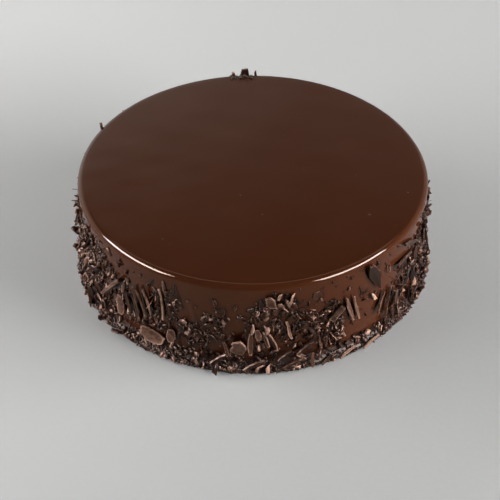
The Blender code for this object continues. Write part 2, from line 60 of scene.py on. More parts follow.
OCTAHEDRON = np.array([(1, 0, 0), (0, 1, 0), (-1, 0, 0), (0, -1, 0), (0, 0, 1), (0, 0, -1)], float)
log = logging.getLogger("cake")


class Form(Enum):
    """The kinds of shaving, by the outline and section they are cut to."""

    SHARD = "shard"
    STICK = "stick"
    PLATE = "plate"
    DISC = "disc"
    LEAF = "leaf"
    ROLL = "roll"
    RIBBED = "ribbed"


class Slot(Enum):
    """The record's material slots."""

    GLAZE = "glaze"
    SHAVINGS = "shavings"


class Shaving(NamedTuple):
    """One placed shaving: its ends (angle in degrees, height and stand-off in mm) and width."""

    name: str
    form: str
    low: tuple
    high: tuple
    width: float
    turn: float = 0.0
    bow: float = 0.0


class Bare(NamedTuple):
    """A patch of open glaze: centre angle, half width, lowest and highest height in mm."""

    angle: float
    half: float
    low: float
    high: float


# Large shavings that the photograph shows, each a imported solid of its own.
OWN_SHAVINGS = (
    Shaving("roll_left", "roll", (-52.4, 22.4, 5.0), (-45.0, 40.0, 1.8), 3.1, 0, 0.2),
    Shaving("dagger_left_1", "shard", (-41.2, 20.4, 1.8), (-43.4, 34.0, 0.8), 3.2, -6, 0.3),
    Shaving("dagger_left_2", "shard", (-37.6, 17.3, 1.6), (-40.0, 38.8, 1.8), 4.0, -32, 0.4),
    Shaving("dagger_left_3", "shard", (-34.9, 22.6, 1.2), (-37.4, 41.4, 2.4), 3.9, -40, 0.4),
    Shaving("dagger_left_4", "shard", (-32.7, 27.0, 0.8), (-34.7, 43.8, 1.8), 3.3, -42, 0.4),
    Shaving("plate_left", "plate", (-46.2, 12.9, 1.8), (-45.8, 26.4, 0.8), 5.6, 6, 0.2),
    Shaving("plate_low_left", "plate", (-37.2, 11.2, 2.4), (-28.6, 9.8, 2.2), 8.2, -14, 0.3),
    Shaving("needle_left", "stick", (-28.4, 26.7, 1.2), (-29.1, 48.2, 0.8), 1.5, -30, 0.6),
    Shaving("plate_left_front", "plate", (-25.9, 12.0, 1.6), (-26.2, 20.8, 0.8), 4.9, 12, 0.2),
    Shaving("rod_front", "stick", (-12.9, 5.2, 4.6), (-8.2, 11.8, 2.6), 2.5, 15, 0.3),
    Shaving("plate_front", "disc", (-4.4, 11.8, 0.9), (-4.5, 23.2, 3.4), 9.0, 0, 0.5),
    Shaving("prong_front", "stick", (-7.5, 11.8, 3.4), (-9.0, 20.8, 2.2), 1.6, 20, 0.3),
    Shaving("upright_front", "shard", (-0.8, 11.8, 1.2), (-1.0, 28.4, 0.8), 3.1, 16, 0.4),
    Shaving("shield_front", "plate", (1.7, 22.5, 1.4), (1.2, 30.2, 0.8), 3.4, 10, 0.2),
    Shaving("blade_front_1", "shard", (4.8, 17.0, 1.2), (3.0, 28.2, 1.0), 2.0, -20, 0.4),
    Shaving("blade_front_2", "shard", (7.2, 15.0, 1.0), (4.6, 28.0, 2.0), 2.5, -35, 0.4),
    Shaving("plate_high_front", "plate", (6.0, 46.0, 0.8), (4.5, 53.4, 0.8), 4.9, -8, 0.2),
    Shaving("sliver_front", "stick", (11.4, 22.0, 1.2), (9.8, 35.5, 0.8), 1.8, 25, 0.4),
    Shaving("foot_long_1", "stick", (-2.8, 3.0, 4.6), (3.2, 9.0, 3.6), 2.4, 15, 0.5),
    Shaving("foot_long_2", "stick", (7.0, 8.4, 4.2), (11.6, 14.0, 2.6), 2.0, 15, 0.5),
    Shaving("foot_long_3", "stick", (13.4, 11.0, 3.0), (19.5, 17.5, 1.8), 2.8, 18, 0.5),
    Shaving("foot_long_4", "stick", (8.7, 4.2, 5.4), (15.8, 8.3, 4.4), 2.0, 10, 0.5),
    Shaving("ribbed_right", "ribbed", (24.1, 29.0, 1.0), (28.3, 35.8, 0.8), 5.0, 0, 0.0),
    Shaving("twin_right_1", "shard", (31.9, 23.0, 0.9), (29.1, 41.8, 0.9), 2.6, 25, 0.3),
    Shaving("twin_right_2", "shard", (34.2, 22.0, 0.9), (31.5, 41.0, 0.9), 2.2, 28, 0.3),
    Shaving("leaf_right", "leaf", (42.0, 37.0, 0.9), (37.4, 58.4, 1.6), 6.8, -12, 0.7),
    Shaving("slab_right_1", "shard", (41.9, 17.4, 1.8), (44.6, 31.0, 1.0), 3.4, 20, 0.3),
    Shaving("slab_right_2", "shard", (45.6, 10.6, 2.0), (47.9, 31.0, 1.0), 2.4, 34, 0.4),
    Shaving("slab_right_3", "plate", (50.4, 16.6, 2.4), (51.0, 24.4, 2.0), 5.2, 12, 0.2),
    Shaving("slab_right_4", "shard", (48.3, 6.5, 4.6), (49.8, 15.4, 1.0), 2.6, 30, 0.3),
    Shaving("slab_right_5", "shard", (51.4, 5.7, 4.6), (52.8, 14.6, 1.4), 2.2, 32, 0.3),
    Shaving("flat_right_1", "stick", (50.1, 42.6, 1.8), (58.6, 41.6, 0.9), 3.8, 10, 0.3),
    Shaving("flat_right_2", "shard", (54.0, 54.0, 1.4), (62.8, 45.6, 1.6), 3.2, 14, 0.3),
    Shaving("flat_right_3", "plate", (62.6, 32.4, 1.4), (63.0, 40.6, 1.0), 4.4, -10, 0.2),
    Shaving("chunk_right_high", "plate", (75.4, 23.6, 3.8), (74.8, 36.0, 1.6), 7.2, 18, 0.2),
    Shaving("chunk_right_low", "plate", (61.2, 17.8, 2.2), (61.9, 25.0, 1.4), 4.6, -16, 0.2),
    Shaving("pillar_right", "shard", (60.6, 1.6, 4.6), (61.8, 12.4, 2.0), 2.6, 25, 0.2),
    Shaving("chunk_left_high", "plate", (-82.0, 30.0, 3.4), (-82.6, 38.6, 1.2), 5.6, -18, 0.2),
    Shaving("chunk_left_low", "plate", (-65.0, 2.4, 5.6), (-63.6, 8.4, 2.8), 4.6, 16, 0.2),
    Shaving("foot_lump_left", "plate", (-47.8, 1.2, 7.2), (-44.6, 2.6, 6.8), 3.6, 66, 0.1),
    Shaving("foot_stick_1", "stick", (17.6, 1.4, 6.0), (18.0, 9.6, 3.4), 2.2, 25, 0.2),
    Shaving("foot_stick_2", "stick", (20.5, 1.4, 6.0), (24.8, 4.6, 3.6), 2.2, 15, 0.2),
    Shaving("foot_stick_3", "stick", (26.6, 1.6, 5.8), (32.6, 4.2, 3.8), 2.2, 15, 0.3),
    Shaving("foot_stick_4", "stick", (34.6, 1.6, 5.8), (41.8, 3.4, 4.2), 2.3, 15, 0.4),
    Shaving("rim_rear_block", "plate", (-177.6, 50.0, 0.8), (-177.2, 61.8, 2.2), 6.6, 0, 0.2),
)

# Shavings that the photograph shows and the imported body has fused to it.
PRESSED_SHAVINGS = (
    Shaving("curl_left", "shard", (-45.1, 30.2, 0.4), (-44.0, 39.6, 0), 2.0, 25),
    Shaving("needle_left_2", "stick", (-25.0, 28.9, 0), (-28.0, 41.0, 0), 1.3, -20),
    Shaving("needle_left_3", "stick", (-24.0, 29.2, 0), (-26.9, 40.2, 0), 1.2, 10),
    Shaving("needle_left_4", "stick", (-25.0, 46.0, 0), (-24.4, 55.4, 0), 1.2, -20),
    Shaving("needle_left_5", "stick", (-22.3, 41.0, 0), (-25.7, 47.0, 0), 1.2, 10),
    Shaving("needle_left_6", "stick", (-22.2, 37.6, 0), (-26.5, 43.0, 0), 1.2, 10),
    Shaving("needle_left_7", "stick", (-22.5, 43.6, 0), (-24.0, 52.6, 0), 1.2, 10),
    Shaving("leaf_left", "shard", (-27.6, 44.2, 0), (-28.1, 54.3, 0.4), 2.4, 20),
    Shaving("block_left_front", "plate", (-22.6, 18.0, 0), (-22.9, 25.9, 0), 3.4, -15),
    Shaving("stick_left_1", "stick", (-23.6, 12.6, 0), (-23.5, 20.6, 0), 1.3, 20),
    Shaving("stick_left_2", "stick", (-21.2, 21.6, 0), (-21.0, 27.4, 0), 1.3, -15),
    Shaving("disc_left_front", "plate", (-21.0, 12.6, 0.5), (-17.6, 16.0, 0.3), 3.4, -10),
    Shaving("stick_left_front", "stick", (-11.5, 27.9, 0), (-12.1, 36.7, 0), 2.2, 10),
    Shaving("ring_front", "plate", (-13.8, 33.4, 0), (-13.8, 38.6, 0), 3.8, 0),
    Shaving("plate_mid_front", "plate", (-16.9, 19.6, 0), (-17.1, 25.0, 0), 4.6, 12),
    Shaving("chip_front_1", "shard", (2.0, 8.2, 0.4), (2.8, 12.2, 0), 2.2, 10),
    Shaving("chip_front_2", "shard", (-11.9, 43.0, 0), (-8.4, 40.6, 0), 2.4, 0),
    Shaving("chip_front_3", "stick", (-5.7, 43.0, 0), (-5.0, 46.9, 0), 1.7, 0),
    Shaving("chip_front_4", "plate", (-3.9, 36.8, 0), (-2.1, 38.2, 0), 2.6, 0),
    Shaving("chip_front_5", "plate", (-1.7, 43.6, 0), (0.3, 44.2, 0), 2.4, 0),
    Shaving("chip_front_6", "stick", (-8.4, 33.2, 0), (-9.0, 38.6, 0), 1.7, 0),
    Shaving("shield_low_front", "plate", (2.9, 15.8, 0.8), (2.5, 20.2, 0), 3.0, -14),
    Shaving("block_high_front", "plate", (2.3, 43.8, 0), (2.3, 50.5, 0.2), 2.4, 14),
    Shaving("block_high_front_2", "plate", (8.0, 50.6, 0), (8.3, 54.4, 0), 2.8, 0),
    Shaving("block_high_front_3", "shard", (10.4, 47.6, 0), (9.7, 53.0, 0), 2.6, 0),
    Shaving("stick_front_2", "stick", (10.0, 24.4, 0), (9.0, 33.2, 0), 1.4, 0),
    Shaving("stick_front_3", "stick", (17.9, 24.7, 0), (15.6, 30.2, 0), 1.7, 0),
    Shaving("stick_front_4", "stick", (12.0, 43.2, 0), (12.1, 49.6, 0), 1.6, 0),
    Shaving("stick_low_1", "stick", (21.3, 8.9, 1.0), (20.6, 18.3, 0), 1.9, 15),
    Shaving("stick_low_2", "stick", (23.4, 8.7, 1.0), (22.2, 18.2, 0), 1.9, -15),
    Shaving("stick_low_3", "stick", (29.6, 11.6, 0.6), (26.9, 21.4, 0), 2.2, 10),
    Shaving("plate_high_right", "plate", (20.2, 45.6, 0), (19.2, 51.6, 0), 6.6, 0),
    Shaving("bit_right_1", "stick", (42.6, 50.4, 0), (41.2, 56.8, 0), 1.7, 0),
    Shaving("bit_right_2", "stick", (35.9, 36.4, 0), (34.7, 42.4, 0), 1.3, 0),
    Shaving("bit_right_3", "stick", (37.0, 36.8, 0), (38.0, 39.4, 0), 1.2, 0),
    Shaving("rim_rear_side", "shard", (-173.8, 51.0, 0), (-173.2, 61.2, 0.9), 3.2, 20),
    Shaving("rim_rear_stick", "stick", (178.2, 51.5, 0), (178.8, 61.6, 0.9), 1.9, -20),
    Shaving("sliver_rear_left", "stick", (-116.4, 51.6, 0), (-115.6, 62.4, 0.6), 1.8, 10),
    Shaving("spur_left", "stick", (-80.6, 12.0, 4.2), (-80.2, 15.0, 0), 2.0, 10),
    Shaving("spur_right", "stick", (84.0, 36.4, 3.0), (85.0, 41.4, 0), 2.4, 10),
)

# Patches of open glaze that the photograph shows.
BARE_GLAZE = (
    Bare(-66.0, 8.0, 6.0, 15.0),
    Bare(-42.0, 5.0, 6.0, 14.5),
    Bare(-42.5, 9.0, 46.0, 60.0),
    Bare(-21.0, 2.8, 31.0, 60.0),
    Bare(-16.0, 3.4, 39.0, 60.0),
    Bare(-5.0, 3.6, 24.0, 60.0),
    Bare(-19.5, 4.0, 8.0, 13.0),
    Bare(6.4, 3.6, 13.0, 20.0),
    Bare(26.4, 4.4, 42.0, 60.0),
    Bare(38.0, 9.5, 7.0, 33.0),
    Bare(33.0, 4.0, 44.0, 60.0),
    Bare(40.0, 4.0, 33.0, 60.0),
    Bare(46.5, 4.6, 33.0, 60.0),
    Bare(56.0, 4.0, 8.0, 14.0),
)

# Tone of each large shaving before its edges are added: 0 is dark, 0.5 middle and 1 pale.
LARGE_TONES = {
    "roll_left": 0.02, "dagger_left_1": 0.26, "dagger_left_2": 0.20, "dagger_left_3": 0.34,
    "dagger_left_4": 0.26, "plate_left": 0.56, "plate_low_left": 0.54, "needle_left": 0.50,
    "plate_left_front": 0.54,
    "rod_front": 0.0, "plate_front": 0.50, "prong_front": 0.30, "upright_front": 0.44, "shield_front": 0.55,
    "blade_front_1": 0.52, "blade_front_2": 0.20, "plate_high_front": 0.54, "sliver_front": 0.56,
    "foot_long_1": 0.24, "foot_long_2": -0.2, "foot_long_3": 0.0, "foot_long_4": 0.16,
    "ribbed_right": 0.34, "twin_right_1": 0.52, "twin_right_2": 0.60, "leaf_right": 0.10,
    "slab_right_1": 0.42, "slab_right_2": 0.30, "slab_right_3": 0.18, "slab_right_4": 0.16,
    "slab_right_5": 0.32,
    "flat_right_1": 0.12, "flat_right_2": 0.16, "flat_right_3": 0.26, "chunk_right_high": -0.2,
    "chunk_right_low": -0.2, "pillar_right": 0.06, "chunk_left_high": 0.08, "chunk_left_low": 0.06,
    "foot_lump_left": 0.06, "rim_rear_block": 0.06,
}

# Factor on the tone of the smaller shavings, by angle round the cake in degrees: painted light and shade,
# paler towards the left and front and darker towards the right.
PAINTED_SIDE_LIGHT = (
    (-180, 1.0), (-110, 1.0), (-75, 1.2), (-50, 1.25), (-34, 1.2), (-20, 1.1), (20, 1.1), (36, 1.2),
    (56, 0.9), (80, 0.6), (120, 1.0), (180, 1.0),
)


def srgb(code: str) -> tuple[float, float, float, float]:
    """Linear colour of an sRGB hex code.

    Args:
        code: Six hex digits, such as "45291e".

    Returns:
        Red, green, blue and an alpha of one.
    """
    parts = [int(code[index : index + 2], 16) / 255 for index in (0, 2, 4)]
    red, green, blue = (p / 12.92 if p <= 0.04045 else ((p + 0.055) / 1.055) ** 2.4 for p in parts)
    return red, green, blue, 1.0


def add_node(tree: bpy.types.NodeTree, kind: str, inputs: dict[Any, Any], **settings: Any) -> Any:
    """Adds a shader node with its settings, constants and links.

    Args:
        tree: Node tree to add to.
        kind: Node type, such as "ShaderNodeTexNoise".
        inputs: Input name or index to a socket to link from, or a constant.
        settings: Properties of the node itself.

    Returns:
        The new node.
    """
    node = tree.nodes.new(kind)
    for key, value in settings.items():
        setattr(node, key, value)
    for key, value in inputs.items():
        if isinstance(value, bpy.types.NodeSocket):
            tree.links.new(value, node.inputs[key])
        else:
            node.inputs[key].default_value = value
    return node


def noise(tree: bpy.types.NodeTree, place: Any, size_mm: float, detail: float = 2.0) -> Any:
    """Adds a noise texture with spots of about size_mm and returns its factor."""
    inputs = {"Vector": place, "Scale": 1000 / size_mm, "Detail": detail}
    return add_node(tree, "ShaderNodeTexNoise", inputs).outputs["Fac"]


def math_node(tree: bpy.types.NodeTree, operation: str, *values: Any) -> Any:
    """Adds a math node over sockets or constants and returns its result."""
    return add_node(tree, "ShaderNodeMath", dict(enumerate(values)), operation=operation).outputs[0]


def mix_colours(tree: bpy.types.NodeTree, share: Any, first: Any, second: Any) -> Any:
    """Adds a mix of two colours by a share and returns the mixed colour."""
    inputs = {0: share, 6: first, 7: second}
    return add_node(tree, "ShaderNodeMix", inputs, data_type="RGBA").outputs[2]


def map_range(
    tree: bpy.types.NodeTree,
    value: Any,
    span: tuple[float, float] = (0.0, 1.0),
    onto: tuple[float, float] = (0.0, 1.0),
    **settings: Any,
) -> Any:
    """Adds a node that maps a value from one span onto another and returns its result."""
    inputs = {"Value": value, "From Min": span[0], "From Max": span[1], "To Min": onto[0], "To Max": onto[1]}
    return add_node(tree, "ShaderNodeMapRange", inputs, **settings).outputs["Result"]


def bump(tree: bpy.types.NodeTree, height: Any, strength: float, depth: float) -> Any:
    """Adds a bump of a depth in metres and returns its normal."""
    inputs = {"Height": height, "Strength": strength, "Distance": depth}
    return add_node(tree, "ShaderNodeBump", inputs).outputs["Normal"]


def new_material(name: str) -> tuple[bpy.types.Material, bpy.types.NodeTree, Any, Any]:
    """Makes a material and returns it with its tree, its shader and the Object coordinates."""
    made = bpy.data.materials.new(name)
    made.use_nodes = True
    tree = made.node_tree
    place = add_node(tree, "ShaderNodeTexCoord", {}).outputs["Object"]
    return made, tree, tree.nodes["Principled BSDF"], place


def set_gloss(shader: Any, refraction: float, specular: float, reflection: str) -> None:
    """Sets how strongly a shader reflects and in what tint."""
    shader.inputs["IOR"].default_value = refraction
    shader.inputs["Specular IOR Level"].default_value = specular
    shader.inputs["Specular Tint"].default_value = srgb(reflection)


def shade_smooth(mesh: bpy.types.Mesh) -> None:
    """Shades every face of a mesh smooth."""
    mesh.polygons.foreach_set("use_smooth", np.ones(len(mesh.polygons), bool))


def on_side(angle: Any, reach: Any, height: Any) -> Array:
    """Points at an angle in radians, a radius and a height, shape (..., 3)."""
    return np.stack([reach * np.sin(angle), -reach * np.cos(angle), height], axis=-1)


def write_mesh(name: str, points: Array, faces: Sequence[NDArray[np.int64]]) -> bpy.types.Mesh:
    """Makes a mesh from whole arrays.

    Args:
        name: Name of the mesh.
        points: Vertices, shape (n, 3).
        faces: Arrays of shape (f, k), each the corners of f faces with k sides.

    Returns:
        The mesh, validated and flat shaded.
    """
    mesh = bpy.data.meshes.new(name)
    mesh.vertices.add(len(points))
    mesh.vertices.foreach_set("co", points.astype(np.float32).ravel())
    corners = np.concatenate([block.ravel() for block in faces])
    sizes = np.concatenate([np.full(len(block), block.shape[1]) for block in faces])
    mesh.loops.add(len(corners))
    mesh.loops.foreach_set("vertex_index", corners.astype(np.int32))
    mesh.polygons.add(len(sizes))
    starts = np.concatenate([[0], np.cumsum(sizes)[:-1]])
    mesh.polygons.foreach_set("loop_start", starts.astype(np.int32))
    mesh.update(calc_edges=True)
    mesh.validate()
    return mesh


def tube_faces(count: int, stations: int, points: int) -> list[NDArray[np.int64]]:
    """Faces of count closed tubes of stations rings of points, one after another.

    The side is quads between ring s and s + 1, corner p and p + 1. Each end is one face.
    """
    base = np.arange(count)[:, None, None] * stations * points
    ring = np.arange(stations - 1)[None, :, None] * points
    corner = np.arange(points)[None, None, :]
    after = (corner + 1) % points
    first = base + ring
    quads = np.stack([first + corner, first + after, first + points + after, first + points + corner], -1)
    start = base[:, 0] + np.arange(points)[::-1][None, :]
    end = base[:, 0] + (stations - 1) * points + np.arange(points)[None, :]
    return [quads.reshape(-1, 4), start, end]


def grid_normals(rings: Array) -> Array:
    """Unit normals of closed tubes, shape (..., stations, points, 3), from central differences."""
    around = np.roll(rings, -1, axis=-2) - np.roll(rings, 1, axis=-2)
    along = np.gradient(rings, axis=-3)
    normal = np.cross(around, along)
    middle = rings.mean(axis=(-3, -2), keepdims=True)
    outward = ((rings - middle) * normal).sum(axis=(-3, -2, -1), keepdims=True)
    normal = normal * np.where(outward < 0, -1.0, 1.0)
    return normal / np.maximum(np.linalg.norm(normal, axis=-1, keepdims=True), 1e-12)


@dataclass(frozen=True)
class CakeForm:
    """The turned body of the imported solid: radius, height, rounded rim and spread foot."""

    radius: float = 0.102
    height: float = 0.0600
    rim_rounding: float = 0.0034
    rim_steps: int = 4
    side_middle: float = 0.030
    foot_reach: float = 0.0042
    foot_level: float = 0.0012
    foot_shoulder: tuple[float, float] = (0.0015, 0.0038)
    foot_top: float = 0.0065
    wave_size: float = 0.00022
    wave_lobes: tuple[int, ...] = (2, 3, 5)

    def wave(self, angle: Any, height: Any) -> Array:
        """Slow unevenness of the side in metres: the sum of sines of the lobes times the angle."""
        total = np.zeros(np.broadcast(angle, height).shape)
        for index, lobes in enumerate(self.wave_lobes):
            phase = 1.7 * index + 0.6
            total = total + np.sin(lobes * angle + phase + 40.0 * height * (index - 1)) / (index + 1)
        return self.wave_size * total

    def profile(self, rim_steps: int) -> Array:
        """Rows of (radius, height) from the edge of the foot up to the flat top."""
        rows = [
            (self.radius + self.foot_reach, 0.0),
            (self.radius + self.foot_reach, self.foot_level),
            (self.radius + self.foot_shoulder[0], self.foot_shoulder[1]),
            (self.radius, self.foot_top),
            (self.radius, self.side_middle),
        ]
        turns = np.linspace(0.0, math.pi / 2, rim_steps)
        across = self.radius - self.rim_rounding * (1 - np.cos(turns))
        up = self.height - self.rim_rounding * (1 - np.sin(turns))
        return np.concatenate([np.array(rows), np.stack([across, up], axis=1)])

    def reach(self, angle: Any, height: Any) -> Array:
        """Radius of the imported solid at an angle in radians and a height."""
        rows = self.profile(self.rim_steps)
        return np.interp(height, rows[:, 1], rows[:, 0]) + self.wave(angle, height)

    def point(self, angle: float, height: float, out: float) -> Array:
        """Point standing out from the upright side by out, the spread foot not counted."""
        reach = self.radius + float(self.wave(angle, height)) + out
        return np.array([reach * math.sin(angle), -reach * math.cos(angle), height])


@dataclass(frozen=True)
class ShavingCutter:
    """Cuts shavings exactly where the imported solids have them, then again with grain."""

    cake: CakeForm
    thickness: float = 0.0011
    own_gap: float = 0.00045
    sink: float = 0.0007
    floor_gap: float = 0.0004
    roll_sweep: float = math.radians(305)
    roll_steps: int = 7
    roll_wall: float = 0.30
    rib_count: int = 4
    rib_depth: float = 0.55
    groove: float = 0.00009
    grain_share: float = 0.8
    lump_share: float = 0.45
    edge_power: int = 8
    notch: float = 0.06
    ragged: float = 0.00065
    steps: int = 12
    end_knots: int = 7
    smooth: float = 0.4
    round_forms: tuple[Form, ...] = (Form.ROLL, Form.LEAF, Form.DISC)
    flat_forms: tuple[Form, ...] = (Form.ROLL, Form.LEAF, Form.DISC, Form.PLATE)
    pressed_profile: tuple[float, ...] = (0.55, 1.00, 0.40)

    def profile_of(self, form: Form) -> tuple[float, ...]:
        """Width along a shaving of one form, as shares of its full width."""
        return {
            Form.SHARD: (0.50, 0.98, 0.88, 0.30),
            Form.STICK: (0.72, 1.00, 0.92, 0.58),
            Form.PLATE: (0.62, 1.00, 0.96, 0.66),
            Form.DISC: (0.46, 0.90, 1.00, 0.90, 0.52),
            Form.LEAF: (0.10, 0.62, 1.00, 0.86, 0.26),
            Form.ROLL: (0.86, 1.00, 0.94),
            Form.RIBBED: (1.00, 0.94),
        }[form]

    def section_of(self, form: Form, width: float, thickness: float, cup: float) -> Array:
        """Section of a shaving as (across, outwards) points, going round once."""
        half = width / 2
        rise = thickness / 2
        if form is Form.ROLL:
            turns = np.linspace(-self.roll_sweep / 2, self.roll_sweep / 2, self.roll_steps + 1) + math.pi / 2
            ring = np.stack([np.cos(turns), np.sin(turns)], axis=1)
            return np.concatenate([ring * half, ring[::-1] * half * (1 - self.roll_wall)])
        if form is Form.RIBBED:
            ribs = 2 * self.rib_count + 1
            ridge = thickness * (0.5 + self.rib_depth * (np.arange(ribs) % 2))
            outside = np.stack([np.linspace(half, -half, ribs), ridge], axis=1)
            return np.concatenate([np.array([(-half, -rise), (half, -rise)]), outside])
        if form is Form.STICK:
            return np.array([(-half, -rise), (half, -rise), (half, rise), (-half, rise)])
        under = [(-half, -rise), (0.0, cup - rise), (half, -rise)]
        return np.array(under + [(half, rise), (0.0, cup + rise), (-half, rise)])

    def own_rings(
        self,
        form: Form,
        length: float,
        width: float,
        thickness: float,
        bow: float,
        profile: Sequence[float],
        draw: np.random.Generator,
    ) -> Array:
        """Rings of one shaving in its own frame: across, outwards, along."""
        steps = np.linspace(-0.5, 0.5, len(profile))
        cup = 0.05 * width * draw.uniform(-1.0, 1.0)
        rings = []
        for step, share in zip(steps, profile):
            reach = width * share * draw.uniform(0.88, 1.1)
            section = self.section_of(form, reach, thickness, cup)
            drift = width * 0.09 * draw.uniform(-1.0, 1.0)
            slant = draw.uniform(-0.32, 0.32) if abs(step) == 0.5 else 0.0
            along = step * length + slant * section[:, 0]
            outward = section[:, 1] + bow * (2 * step) ** 2
            rings.append(np.stack([section[:, 0] + drift, outward, along], axis=1))
        return np.array(rings)

    def placed(self, rings: Array, low: Array, high: Array, turn: float) -> Array:
        """Turns rings from a shaving's own frame to the cake, between its two end points."""
        middle = (low + high) / 2
        along = (high - low) / np.linalg.norm(high - low)
        out = np.array([middle[0], middle[1], 0.0]) / math.hypot(middle[0], middle[1])
        out = out - along * (out @ along)
        out = out / np.linalg.norm(out)
        across = np.cross(out, along)
        side = across * math.cos(turn) + out * math.sin(turn)
        face = out * math.cos(turn) - across * math.sin(turn)
        return middle + rings[..., 0:1] * side + rings[..., 1:2] * face + rings[..., 2:3] * along

    def samples(self, rings: Array) -> Array:
        """Points spread over a shaving, for measuring how far it is from something else."""
        closed = np.concatenate([rings, rings[:, :1]], axis=1)
        across = [closed[:, :-1] * (1 - share) + closed[:, 1:] * share for share in (0.0, 0.33, 0.67)]
        rows = np.concatenate(across, axis=1)
        along = [rows[:-1] * (1 - share) + rows[1:] * share for share in (0.0, 0.25, 0.5, 0.75)]
        return np.concatenate(along + [rows[-1:]], axis=0).reshape(-1, 3)

    def seated(self, rings: Array, gap: float) -> Array:
        """Moves a shaving in or out, and up off the floor, so that its nearest point is at gap."""
        points = self.samples(rings)
        angle = np.arctan2(points[:, 0], -points[:, 1])
        height = np.clip(points[:, 2], 0.0, self.cake.height)
        near = (np.hypot(points[:, 0], points[:, 1]) - self.cake.reach(angle, height)).min()
        middle = points.mean(axis=0)
        out = np.array([middle[0], middle[1], 0.0]) / math.hypot(middle[0], middle[1])
        shift = out * (gap - near) if gap < 0 or near < gap else np.zeros(3)
        lift = max(0.0, self.floor_gap - points[:, 2].min())
        return rings + shift + np.array([0.0, 0.0, lift])

    def cut(self, row: Shaving, draw: np.random.Generator, pressed: bool = False) -> Array:
        """Rings of one shaving, seated on the side.

        Args:
            row: Where the shaving lies.
            draw: Seeded generator, used in the same order as by the solids.
            pressed: Whether it is fused to the body rather than a solid of its own.

        Returns:
            Array of shape (stations, points, 3).
        """
        ends = [self.cake.point(math.radians(a), z * MM, out * MM) for a, z, out in (row.low, row.high)]
        length = float(np.linalg.norm(ends[1] - ends[0]))
        width = row.width * MM
        narrow = row.form == Form.STICK.value
        thickness = min(self.thickness, 0.7 * width) if narrow else self.thickness
        form = Form.STICK if pressed else Form(row.form)
        profile = self.pressed_profile if pressed else self.profile_of(form)
        rings = self.own_rings(form, length, width, thickness, row.bow * MM, profile, draw)
        gap = -self.sink if pressed else self.own_gap
        return self.seated(self.placed(rings, ends[0], ends[1], math.radians(row.turn)), gap)

    def refined(
        self, rings: Array, form: Form, per_side: int, draw: np.random.Generator
    ) -> tuple[Array, Array]:
        """Cuts a shaving again with grain along it, notched edges and broken ends.

        Rings are read between stations by straight lines, or by a cubic through four of them
        where the form is round, and between corners by straight lines that stop just short of
        the corner. The surface is moved by groove * (grain + lumps), with a grain for each
        corner, the same all along, and a lump for each point. With u the place across the
        shaving from -1 to 1, each edge is cut in by a notch * u^2 of half the width, drawn
        anew at each station, and each end is pushed in or out by a ragged line over u.

        Args:
            rings: Coarse rings, shape (s, p, 3).
            form: What the shaving is cut to.
            per_side: Points wanted on each side of the section.
            draw: Seeded generator for the grain.

        Returns:
            Fine rings, shape (steps + 1, p * per_side, 3), and how near each point is to an
            edge or an end: |u| to the power of edge_power, and 1 at the ends.
        """
        last = len(rings) - 1
        where = np.linspace(0.0, last, self.steps + 1)
        base = np.minimum(where.astype(int), last - 1)
        t = (where - base)[:, None, None]
        p1, p2 = rings[base], rings[base + 1]
        rows = p1 * (1 - t) + p2 * t
        if form in self.round_forms:
            p0, p3 = rings[np.maximum(base - 1, 0)], rings[np.minimum(base + 2, last)]
            bend = 2 * p1 + (p2 - p0) * t + (2 * p0 - 5 * p1 + 4 * p2 - p3) * t**2
            rows = 0.5 * (bend + (3 * p1 - p0 - 3 * p2 + p3) * t**3)
        stops = np.linspace(0.05, 0.95, per_side)[None, None, :, None]
        after = np.roll(rows, -1, axis=1)
        fine = (rows[:, :, None] * (1 - stops) + after[:, :, None] * stops).reshape(len(rows), -1, 3)
        middle = fine.mean(axis=1, keepdims=True)
        opposite = 2 if rings.shape[1] == 6 else 1
        across = rows[:, opposite : opposite + 1] - rows[:, :1]
        half = np.linalg.norm(across, axis=-1, keepdims=True) / 2
        across = across / (2 * half)
        u = np.clip(((fine - middle) * across).sum(axis=-1, keepdims=True) / half, -1.0, 1.0)
        normal = grid_normals(fine)
        grain = draw.normal(0.0, 1.0, fine.shape[1])[None, :, None]
        lumps = draw.normal(0.0, 1.0, fine.shape[:2])[..., None]
        groove = self.groove * (self.smooth if form in self.flat_forms else 1.0)
        fine = fine + normal * groove * (self.grain_share * grain + self.lump_share * lumps)
        if form is not Form.ROLL:
            cuts = draw.exponential(self.notch, (len(rows), 1, 2)).clip(0.0, 3 * self.notch)
            cuts[[0, -1]] = 0.0
            inward = np.where(u > 0, cuts[..., :1], cuts[..., 1:]) * u * np.abs(u)
            fine = fine - across * half * inward
        knots = np.linspace(-1.0, 1.0, self.end_knots)
        for end, inner in ((0, 1), (-1, -2)):
            away = fine[end].mean(axis=0) - fine[inner].mean(axis=0)
            away = away / max(float(np.linalg.norm(away)), TINY)
            broken = np.interp(u[end, :, 0], knots, draw.uniform(-1.0, 0.5, self.end_knots))
            fine[end] += away * (self.ragged * broken[:, None])
        edge = np.abs(u[..., 0]) ** self.edge_power
        edge[[0, -1]] = 1.0
        return fine, edge


